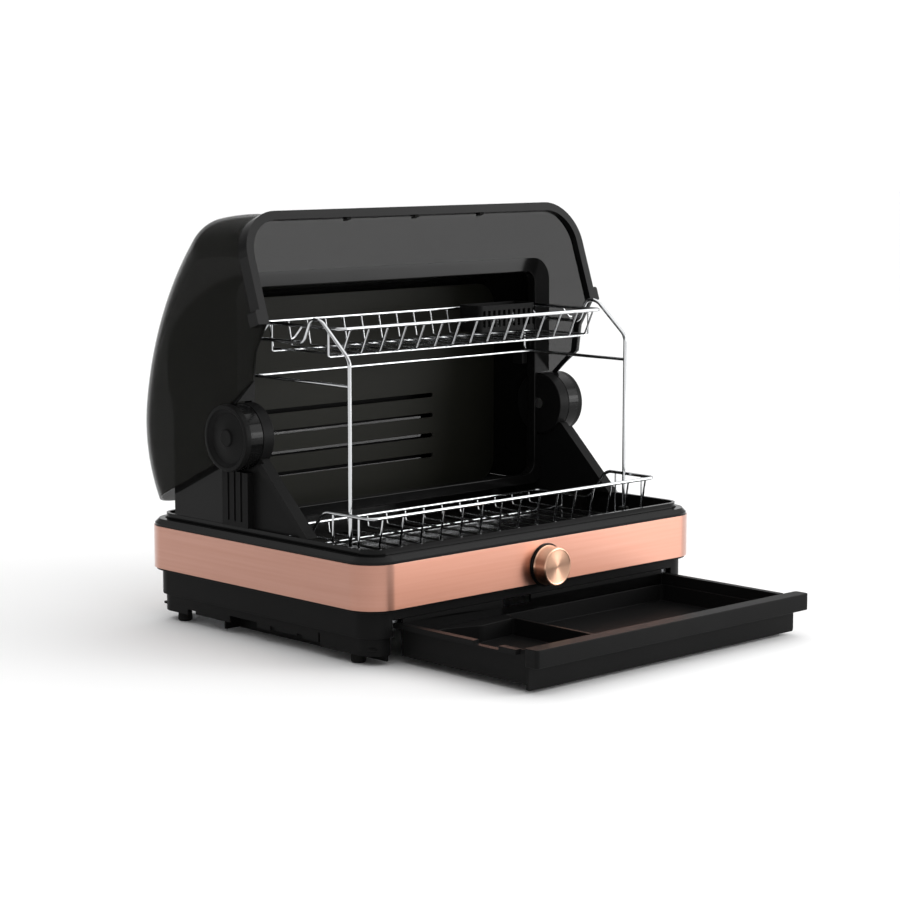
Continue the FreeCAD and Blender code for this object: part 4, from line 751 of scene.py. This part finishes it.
def makeFeet():
    pad = turned("feetPads", (0, 0, 0), (0, 0, 1), foot["profile"], foot["steps"])
    rowOf(pad, [(x*mm, y*mm, 0) for x, y in foot["places"]])
    finishPiece(pad, "base", "rubber", ["feet"], bevel=0)


makeTrimBand()
makeUpperShell()
makeLowerHousing()
makeFeet()
print("stage: body made")

knob = {
    "steps": 96, "ring": ((-2, 3.4), (-2, 22.6), (-1.5, 23.4), (0, 23.5), (0, 3.4), (-2, 3.4)),
    "body": ((-2.3, 3), (-2.3, 21.2), (-2.9, 21.5), (-3.6, 21.1), (-4.2, 20.7), (-16.6, 20.4),
             (-17.5, 20.2), (-18.1, 19.5), (-18.3, 18.8), (-18.1, 18.2), (-17.9, 17.6),
             (-17.8, 12), (-17.7, 6), (-17.7, 0)),
}


def makeKnob():
    centre, axis = (0, -body["halfY"], body["knobHeight"]), (0, 1, 0)
    ring = turned("knobRing", centre, axis, knob["ring"], knob["steps"])
    finishPiece(ring, "base", "gloss_black", ["knob_ring"], bevel=0)
    piece = turned("controlKnob", centre, axis, knob["body"], knob["steps"])
    finishPiece(piece, "knob", "copper_knob", ["control_knob"], bevel=0, sharp=30)


makeKnob()
print("stage: knob made")

drawer = {
    "half": 199*mm, "front": -360.5*mm, "back": -178.5*mm, "low": 8*mm, "floor": 10*mm,
    "top": 42*mm, "wall": 2*mm, "corner": 3*mm, "cornerSteps": 5,
    # The raised back wall and the right slide rail, then the notches in them, in mm.
    "backWall": ((-198, -180.5, 9), (198, -178.6, 46)), "backCorner": 0.8*mm,
    "rail": ((198, -348.5, 36.5), (205, -126.5, 41.9)), "railCorner": 0.9*mm,
    "backNotch": ((-54, -185, 38), (-13, -170, 50)),
    "sideNotch": ((-206, -325, 38), (-190, -290, 50)),
}


def makeTray():
    piece = roundedPlane("drawerTray", (-drawer["half"], drawer["front"]),
                         (drawer["half"], drawer["back"]), drawer["low"],
                         drawer["corner"], drawer["cornerSteps"])
    step(0, drawer["top"] - drawer["low"])
    step(drawer["wall"], 0)
    step(0, drawer["floor"] - drawer["top"])
    turnOutwards()
    applyPlace(piece)
    backWall = blockInMm("backWall", drawer["backWall"], drawer["backCorner"])
    rail = blockInMm("rail", drawer["rail"], drawer["railCorner"])
    leftRail = mirroredCopy(rail)
    for notched, notch in ((piece, "sideNotch"), (piece, "backNotch"), (backWall, "backNotch"),
                           (leftRail, "sideNotch")):
        carve(notched, blockInMm("notch", drawer[notch]))
    joinPieces(piece, backWall, leftRail, rail)
    finishPiece(piece, "drawer", "satin_black", ["drawer_tray"], bevel=0.3*mm)


# The panel is modelled lying down: across, up and back from the front, in mm.
drawerFront = {
    "panel": ((-203, 3, 360.5), (203, 44, 364)), "panelCorner": 2.5*mm,
    "lipLow": (-208*mm, -380.5*mm), "lipHigh": (208*mm, -362.3*mm), "lipTop": 46*mm,
    "lipDrop": 18*mm, "lipWall": 2.5*mm, "lipCorner": 4*mm, "lipSteps": 6,
    "lipBevel": 0.9*mm, "lipBevelSteps": 3, "sharp": 40,
}


def makeDrawerFront():
    piece = standUp(blockInMm("drawerFront", drawerFront["panel"], drawerFront["panelCorner"]))
    lip = roundedPlane("lip", drawerFront["lipLow"], drawerFront["lipHigh"],
                       drawerFront["lipTop"], drawerFront["lipCorner"], drawerFront["lipSteps"])
    step(0, -drawerFront["lipDrop"])
    step(drawerFront["lipWall"], 0)
    step(0, drawerFront["lipDrop"] - drawerFront["lipWall"])
    turnOutwards()
    applyPlace(lip)
    sharp = drawerFront["sharp"]
    softenEdges(lip, drawerFront["lipBevel"], drawerFront["lipBevelSteps"], sharp)
    joinPieces(piece, lip)
    finishPiece(piece, "drawer", "satin_black", ["drawer_front"], 0.35*mm, sharp)


insert = {
    "size": ((-196.7, -358.2, 10), (196.7, -180.8, 30)), "corner": 4*mm, "floor": 12*mm,
    "rightBay": ((-55, -356.2, 12), (194.7, -182.8, 40)),
    "leftBay": ((-194.7, -356.2), (-59, -356.2), (-59, -199.8), (-110, -204.8), (-150, -189.8),
                (-194.7, -189.8)),
    "bayDepth": 30*mm, "baySteps": 5, "upright": 5*mm,
}


def makeInsert():
    piece = blockInMm("drawerInsert", insert["size"], insert["corner"])
    rightBay = blockInMm("bay", insert["rightBay"], insert["corner"])
    places = [Vector((x*mm, y*mm, insert["floor"])) for x, y in insert["leftBay"]]
    leftBay = startPoint("bay", places[0])
    drawAlong(places + places[:1])
    fillOutline()
    step(0, insert["bayDepth"])
    turnOutwards()
    bevelEdges(leftBay, lambda middle, span: abs(span.z) > insert["upright"],
               insert["corner"], insert["baySteps"])
    carve(piece, rightBay, leftBay)
    finishPiece(piece, "drawer", "satin_black", ["drawer_insert"], bevel=0.8*mm, steps=3)


makeTray()
makeDrawerFront()
makeInsert()
print("stage: drawer made")

# Side outlines as (y, z) corners and how far each reaches from the body's middle, in mm.
bracket = {
    "side": ((-77, 119.3), (58, 119.3), (58, 215.5), (0.7, 193.5)), "plate": (222.2, 232.2),
    "sole": ((-32, 95), (58, 95), (58, 121), (-32, 121)),
    "column": ((15, 119.3), (58, 119.3), (58, 178.5), (15, 178.5)), "columnReach": (231.2, 240.2),
    "brace": ((-77, 119.3), (-65, 119.3), (6, 187.5), (-3, 190)), "braceReach": (231.2, 236.2),
    "drum": ((217, 6), (217, 34.9), (217.6, 35.5), (231.2, 35.5), (231.2, 6), (217, 6)),
    "drumSteps": 96, "hubRoom": ((231.2, 0), (231.2, 37), (245, 37), (245, 0)),
    "groove": ((24.15, 125.3), (27.35, 125.3), (27.35, 182), (24.15, 182)),
    "grooveReach": (238.7, 242), "groovePlaces": (0, 10.75*mm, 21.5*mm),
}


def makeBrackets():
    for name, side in sides.items():
        piece = profiled("sideBracket." + name, bracket["side"], bracket["plate"], side)
        sole = profiled("sole", bracket["sole"], bracket["plate"], side)
        column = profiled("column", bracket["column"], bracket["columnReach"], side)
        brace = profiled("brace", bracket["brace"], bracket["braceReach"], side)
        drum = turned("drum", hingePlace, (side, 0, 0), bracket["drum"], bracket["drumSteps"])
        groove = profiled("groove", bracket["groove"], bracket["grooveReach"], side)
        weld(piece, sole, column, brace)
        carve(piece, turned("room", hingePlace, (side, 0, 0), bracket["hubRoom"]))
        weld(piece, drum)
        carve(piece, rowOf(groove, [(0, y, 0) for y in bracket["groovePlaces"]]))
        finishPiece(piece, "base", "satin_black", ["side_bracket_" + name], bevel=0.6*mm)


# The fixed rear hood, in mm: heights from the floor, y towards the back.
hood = {
    "half": 236, "wall": 3*mm, "front": 35, "back": 157, "foot": 119.3, "radius": 172,
    "arcSteps": 20, "lowerBack": 147, "stepLow": 245, "stepHigh": 255,
    "corner": 27*mm, "cornerSteps": 10, "cornerSpan": 60, "cornerFrom": 171,
    "frameOuter": 234.5, "frameBack": 47, "frameTop": 1.5, "frameCorner": 25*mm, "frameSteps": 10,
    "mouthHalf": 212, "mouthLow": 131.3, "mouthTop": 16, "mouthCorner": 14*mm,
    "mouthFront": 20, "mouthBack": 60, "mouthSteps": 8,
    "frameBevel": 1.2*mm, "frameBevelSteps": 3, "frameSharp": 50,
    # Rooms for the hub, the bracket and the air from the fan.
    "hubRoom": ((216.8, 0), (216.8, 37), (250, 37), (250, 0)),
    "bracketRoom": ((221.9, 30, 112), (250, 58.3, 215.5)),
    "airRoom": ((-142, 140, 134), (142, 160, 234)),
}


def hoodOutline(rise):
    # Up the open front, back along the arc that clears the lid, and down the stepped back.
    hinge = hingePlace/mm
    ends = [math.atan2(rise[0] - hinge.z, hood["front"] - hinge.y),
            math.atan2(rise[1] - hinge.z, hood["back"] - hinge.y)]
    outline = [(hood["front"], hood["foot"]), (hood["front"], rise[0])]
    for number in range(1, hood["arcSteps"]):
        turn = ends[0] + (ends[1] - ends[0])*number/hood["arcSteps"]
        outline.append((hinge.y + hood["radius"]*math.cos(turn),
                        hinge.z + hood["radius"]*math.sin(turn)))
    return outline + [(hood["back"], rise[1]), (hood["back"], hood["stepHigh"]),
                      (hood["lowerBack"], hood["stepLow"]), (hood["lowerBack"], hood["foot"])]


def makeHoodFrame(top):
    # The border round the hood's mouth, modelled lying down.
    outer, inner = hood["frameOuter"], hood["mouthHalf"]
    ring = blockInMm("frame", ((-outer, hood["foot"], -hood["frameBack"]),
                               (outer, top - hood["frameTop"], -hood["front"])),
                     hood["frameCorner"], hood["frameSteps"])
    mouth = blockInMm("mouth", ((-inner, hood["mouthLow"], -hood["mouthBack"]),
                                (inner, top - hood["mouthTop"], -hood["mouthFront"])),
                      hood["mouthCorner"], hood["mouthSteps"])
    standUp(carve(ring, mouth))
    softenEdges(ring, hood["frameBevel"], hood["frameBevelSteps"], hood["frameSharp"])
    return ring


def makeHood():
    hinge = hingePlace/mm
    rise = [math.sqrt(hood["radius"]**2 - (y - hinge.y)**2) + hinge.z
            for y in (hood["front"], hood["back"])]

    def isCornerEdge(middle, span):
        reach = math.hypot(middle.y - hingePlace.y, middle.z - hingePlace.z)
        return (abs(abs(middle.x) - hood["half"]*mm) < onPlane and abs(span.x) < onPlane
                and span.length < hood["cornerSpan"]*mm and reach > hood["cornerFrom"]*mm
                and middle.z > rise[1]*mm - onPlane and middle.y > hood["front"]*mm + onPlane)

    piece = profiled("rearHood", hoodOutline(rise), (-hood["half"], hood["half"]))
    bevelEdges(piece, isCornerEdge, hood["corner"], hood["cornerSteps"])
    thinWalled(piece, lambda middle, normal: middle.y < hood["front"]*mm + onPlane
               or middle.z < hood["foot"]*mm + onPlane, hood["wall"])
    weld(piece, makeHoodFrame(rise[0]))
    hubRoom = turned("room", hingePlace, (1, 0, 0), hood["hubRoom"])
    bracketRoom = blockInMm("room", hood["bracketRoom"])
    carve(piece, mirroredCopy(hubRoom), mirroredCopy(bracketRoom), hubRoom, bracketRoom,
          blockInMm("airRoom", hood["airRoom"]))
    finishPiece(piece, "base", "gloss_black", ["rear_hood"], bevel=0.5*mm, sharp=38)


# Two upright slotted plates, modelled lying down: across, up and back from the front, in mm.
panel = {"size": ((-232.2, 113.3, -127), (232.2, 352.9, -124)), "corner": 27*mm, "pitch": 24*mm,
         "slot": ((-130, 150, -129), (130, 155, -122)), "count": 4}
cover = {"size": ((-150, 126, -149.5), (150, 242, -147)), "corner": 4*mm, "pitch": 10*mm,
         "slot": ((-134, 142, -151.5), (134, 147, -145)), "count": 8}
slotEnd = {"corner": 2.35*mm, "steps": 5}
plateSteps = 8


def slottedPlate(name, plate):
    piece = blockInMm(name, plate["size"], plate["corner"], plateSteps)
    slots = rowOf(blockInMm("slots", plate["slot"], slotEnd["corner"], slotEnd["steps"]),
                  [(0, number*plate["pitch"], 0) for number in range(plate["count"])])
    return standUp(carve(piece, slots))


def makePlates():
    finishPiece(slottedPlate("backPanel", panel), "base", "dark_panel", ["back_panel"])
    finishPiece(slottedPlate("rearCover", cover), "base", "satin_black", ["rear_cover"])


lamp = {"y": 64*mm, "z": 376.6*mm, "steps": 24, "holderCorner": 3*mm,
        "tube": ((-150, 0), (-150, 3.6), (-149.4, 4), (149.4, 4), (150, 3.6), (150, 0)),
        "holder": ((138, 56, 370.6), (162, 72, 378.6))}


def makeLamp():
    tube = turned("uvLamp", (0, lamp["y"], lamp["z"]), (1, 0, 0), lamp["tube"], lamp["steps"])
    finishPiece(tube, "base", "lamp_glass", ["uv_lamp"], bevel=0)
    piece = blockInMm("lampHolders", lamp["holder"], lamp["holderCorner"])
    joinPieces(piece, mirroredCopy(piece))
    finishPiece(piece, "base", "satin_black", ["lamp_holders"], bevel=0.6*mm)


makeBrackets()
makeHood()
makePlates()
makeLamp()
print("stage: hood made")


def closedRim(halfPath):
    # A rim drawn down its left side and back up the right one.
    return halfPath + [(-x, y, z) for x, y, z in reversed(halfPath)]


def wireRow(path, diameter, bend, places):
    return rowOf(bentWire("wires", path, diameter, bend), places)


# The wire racks, in mm.
rack = {"half": 215, "front": -153, "back": 32, "top": 146, "low": 112, "shoulder": -78,
        "slope": -52, "floor": 98.55, "lean": 9, "backLean": 2, "spread": 199.5, "count": 15,
        "cross": 96.55, "highCrosses": (-133, -93), "lowCrosses": (-8,),
        "rail": 3.8, "railBend": 8, "wire": 2.3, "wireBend": 3}


def makeLowerRack():
    half, front, back, top, low = (rack[name] for name in ("half", "front", "back", "top", "low"))
    rim = closedRim([(0, back, low), (-half, back, low), (-half, rack["slope"], low),
                     (-half, rack["shoulder"], top), (-half, front, top)])
    piece = bentWire("lowerRack", rim, rack["rail"], rack["railBend"])
    floorWire = [(0, front, top), (0, front + rack["lean"], rack["floor"]),
                 (0, back - rack["backLean"], rack["floor"]), (0, back, low)]
    rows = [wireRow(floorWire, rack["wire"], rack["wireBend"],
                    [(x*mm, 0, 0) for x in spreadOut(rack["spread"], rack["count"])])]
    for height, places in ((top, rack["highCrosses"]), (low, rack["lowCrosses"])):
        cross = [(-half, 0, height), (-half, 0, rack["cross"]), (half, 0, rack["cross"]),
                 (half, 0, height)]
        rows.append(wireRow(cross, rack["wire"], rack["wireBend"], [(0, y*mm, 0) for y in places]))
    joinPieces(piece, *rows)
    finishPiece(piece, "lower_rack_body", "chrome", ["lower_rack"], bevel=0, sharp=60)


shelf = {
    "post": ((208, -112, 99), (208, -112, 305), (208, -68, 343), (208, -52, 343),
             (208, -40, 318), (208, 56, 318)),
    "side": ((208, -112, 278), (208, 48, 278), (208, 48, 318)),
    "cross": ((-208, 40, 278), (208, 40, 278)), "postWire": 4.1, "rail": 3.6, "bend": 6,
    "capPlace": (208*mm, -112*mm, 0), "capSteps": 32,
    "cap": ((95.3, 0), (95.3, 5), (96.2, 5.9), (97, 6), (108, 6), (108.8, 5.6), (109, 4.6),
            (109, 0)),
}


def makeShelf():
    piece = bentWire("shelfFrame", shelf["post"], shelf["postWire"], shelf["bend"])
    side = bentWire("rails", shelf["side"], shelf["rail"], shelf["bend"])
    cross = bentWire("rails", shelf["cross"], shelf["rail"], shelf["bend"])
    joinPieces(piece, mirroredCopy(piece), side, mirroredCopy(side), cross)
    finishPiece(piece, "shelf", "chrome", ["shelf_frame"], bevel=0, sharp=60)
    cap = turned("postCaps", shelf["capPlace"], (0, 0, 1), shelf["cap"], shelf["capSteps"])
    joinPieces(cap, mirroredCopy(cap))
    finishPiece(cap, "shelf", "rubber", ["post_caps"], bevel=0)


basket = {"half": 196, "front": -85.6, "back": 46, "top": 334, "floor": 306, "lean": 13,
          "backLean": 6, "spread": 183, "count": 15, "cross": 304, "crosses": (-65.6, 26),
          "hook": ((196, 0, 334), (208, 0, 321.75), (212, 0, 321.75)), "hooks": (-24, 30),
          "rail": 3.8, "railBend": 8, "wire": 2.3, "wireBend": 2.5}


def makeBasket():
    half, front, back, top = (basket[name] for name in ("half", "front", "back", "top"))
    wire, bend = basket["wire"], basket["wireBend"]
    rim = closedRim([(0, back, top), (-half, back, top), (-half, front, top)])
    piece = bentWire("upperBasket", rim, basket["rail"], basket["railBend"])
    floorWire = [(0, front, top), (0, front + basket["lean"], basket["floor"]),
                 (0, back - basket["backLean"], basket["floor"]), (0, back, top)]
    cross = [(-half, 0, top), (-half, 0, basket["cross"]), (half, 0, basket["cross"]),
             (half, 0, top)]
    hooks = wireRow(basket["hook"], wire, bend, [(0, y*mm, 0) for y in basket["hooks"]])
    joinPieces(
        piece, hooks, mirroredCopy(hooks),
        wireRow(floorWire, wire, bend,
                [(x*mm, 0, 0) for x in spreadOut(basket["spread"], basket["count"])]),
        wireRow(cross, wire, bend, [(0, y*mm, 0) for y in basket["crosses"]]))
    finishPiece(piece, "basket", "chrome", ["upper_basket"], bevel=0, sharp=60)


holder = {"low": (93*mm, 6*mm, 307.4*mm), "high": (183*mm, 42*mm, 338*mm), "wall": 2*mm,
          "corner": 5*mm, "cornerSteps": 6,
          "slit": ((98, 0, 313), (102, 50, 332)), "pitch": 8*mm, "count": 11}


def makeHolder():
    low, high, wall = holder["low"], holder["high"], holder["wall"]
    piece = roundedPlane("utensilHolder", low[:2], high[:2], low[2], holder["corner"],
                         holder["cornerSteps"])
    step(0, high[2] - low[2])
    step(wall, 0)
    step(0, wall - high[2] + low[2])
    turnOutwards()
    applyPlace(piece)
    carve(piece, rowOf(blockInMm("slits", holder["slit"]),
                       [(number*holder["pitch"], 0, 0) for number in range(holder["count"])]))
    finishPiece(piece, "basket", "satin_black", ["utensil_holder"])


# The bracket on the hood's frame that carries the shelf's rear end, in mm.
shelfBracket = {"size": ((203, 47, 262), (212, 63, 275.7)), "corner": 1*mm}


def makeShelfBrackets():
    piece = blockInMm("shelfBrackets", shelfBracket["size"], shelfBracket["corner"])
    joinPieces(piece, mirroredCopy(piece))
    finishPiece(piece, "base", "satin_black", ["shelf_brackets"], bevel=0.5*mm)


makeLowerRack()
makeShelf()
makeBasket()
makeHolder()
makeShelfBrackets()
print("stage: racks made")

studio = {
    "floorSize": 30, "floorDrop": 0.5*mm, "floorColour": (0.96, 0.96, 0.96), "floorShine": 0.1,
    "camera": (-1816.2*mm, -1946.8*mm, 542.6*mm),
    "lookDown": 7.701, "lookRight": 43.638, "lens": 96.28,
    # How high in the sky, from the horizon up, and how bright it is there.
    "sky": ((0.0, 0.75), (0.1, 0.75), (0.2, 0.3), (0.5, 0.34), (0.7, 0.95), (1.0, 1.0)),
    "skyStrength": 1.42, "skyTurn": (0.5, -0.1, 0),
}
# Name, place, target, width, height and power.
lights = (
    ("keyLight", (2.3, -2.4, 1.5), (0, 0, 0.2), 1.8, 1.8, 26),
    ("lowLight", (1.75, -1.7, 0.5), (0, 0, 0.1), 1.4, 0.7, 14),
)


def makeSky():
    # A pale horizon, darker walls above it and a soft bright ceiling, stronger from one side.
    world = bpy.data.worlds.new("studio")
    bpy.context.scene.world = world
    world.use_nodes = True
    nodes, links = world.node_tree.nodes, world.node_tree.links
    place = nodes.new("ShaderNodeTexCoord").outputs["Generated"]
    height = nodes.new("ShaderNodeSeparateXYZ")
    links.new(place, height.inputs["Vector"])
    shade = nodes.new("ShaderNodeValToRGB")
    ramp = shade.color_ramp
    for number, (level, tone) in enumerate(studio["sky"]):
        point = ramp.elements[0] if number == 0 else ramp.elements.new(level)
        point.position = level
        point.color = (tone, tone, tone, 1)
    ramp.elements.remove(ramp.elements[-1])
    links.new(height.outputs["Z"], shade.inputs["Fac"])
    links.new(shade.outputs["Color"], nodes["Background"].inputs["Color"])
    side = nodes.new("ShaderNodeVectorMath")
    side.operation = "DOT_PRODUCT"
    side.inputs[1].default_value = Vector(studio["skyTurn"])*studio["skyStrength"]
    links.new(place, side.inputs[0])
    total = nodes.new("ShaderNodeMath")
    total.inputs[1].default_value = studio["skyStrength"]
    links.new(side.outputs["Value"], total.inputs[0])
    links.new(total.outputs["Value"], nodes["Background"].inputs["Strength"])


def floorPaint():
    material = bpy.data.materials.new("floorPaint")
    material.use_nodes = True
    shader = material.node_tree.nodes["Principled BSDF"]
    shader.inputs["Base Color"].default_value = (*studio["floorColour"], 1)
    shader.inputs["Roughness"].default_value = 1
    shader.inputs["Specular IOR Level"].default_value = studio["floorShine"]
    return material


def makeFloor():
    deselect()
    bpy.ops.mesh.primitive_plane_add(size=studio["floorSize"],
                                     location=(0, 0, -studio["floorDrop"]))
    floor = bpy.context.object
    floor.name = "floor"
    floor.data.materials.append(floorPaint())


def addToScene(name, data, place, turn):
    thing = bpy.data.objects.new(name, data)
    bpy.context.scene.collection.objects.link(thing)
    thing.location = place
    thing.rotation_euler = turn
    return thing


def makeLights():
    for name, place, target, width, height, power in lights:
        light = bpy.data.lights.new(name, "AREA")
        light.shape = "RECTANGLE"
        light.size, light.size_y, light.energy = width, height, power
        aim = (Vector(target) - Vector(place)).to_track_quat("-Z", "Y").to_euler()
        addToScene(name, light, place, aim)


def makeCamera():
    camera = bpy.data.cameras.new("camera")
    camera.lens = studio["lens"]
    look = (math.radians(90 - studio["lookDown"]), 0, math.radians(-studio["lookRight"]))
    bpy.context.scene.camera = addToScene("camera", camera, studio["camera"], look)
    bpy.context.scene.view_settings.view_transform = "Standard"


makeSky()
makeFloor()
makeLights()
makeCamera()
print("stage: scene ready")
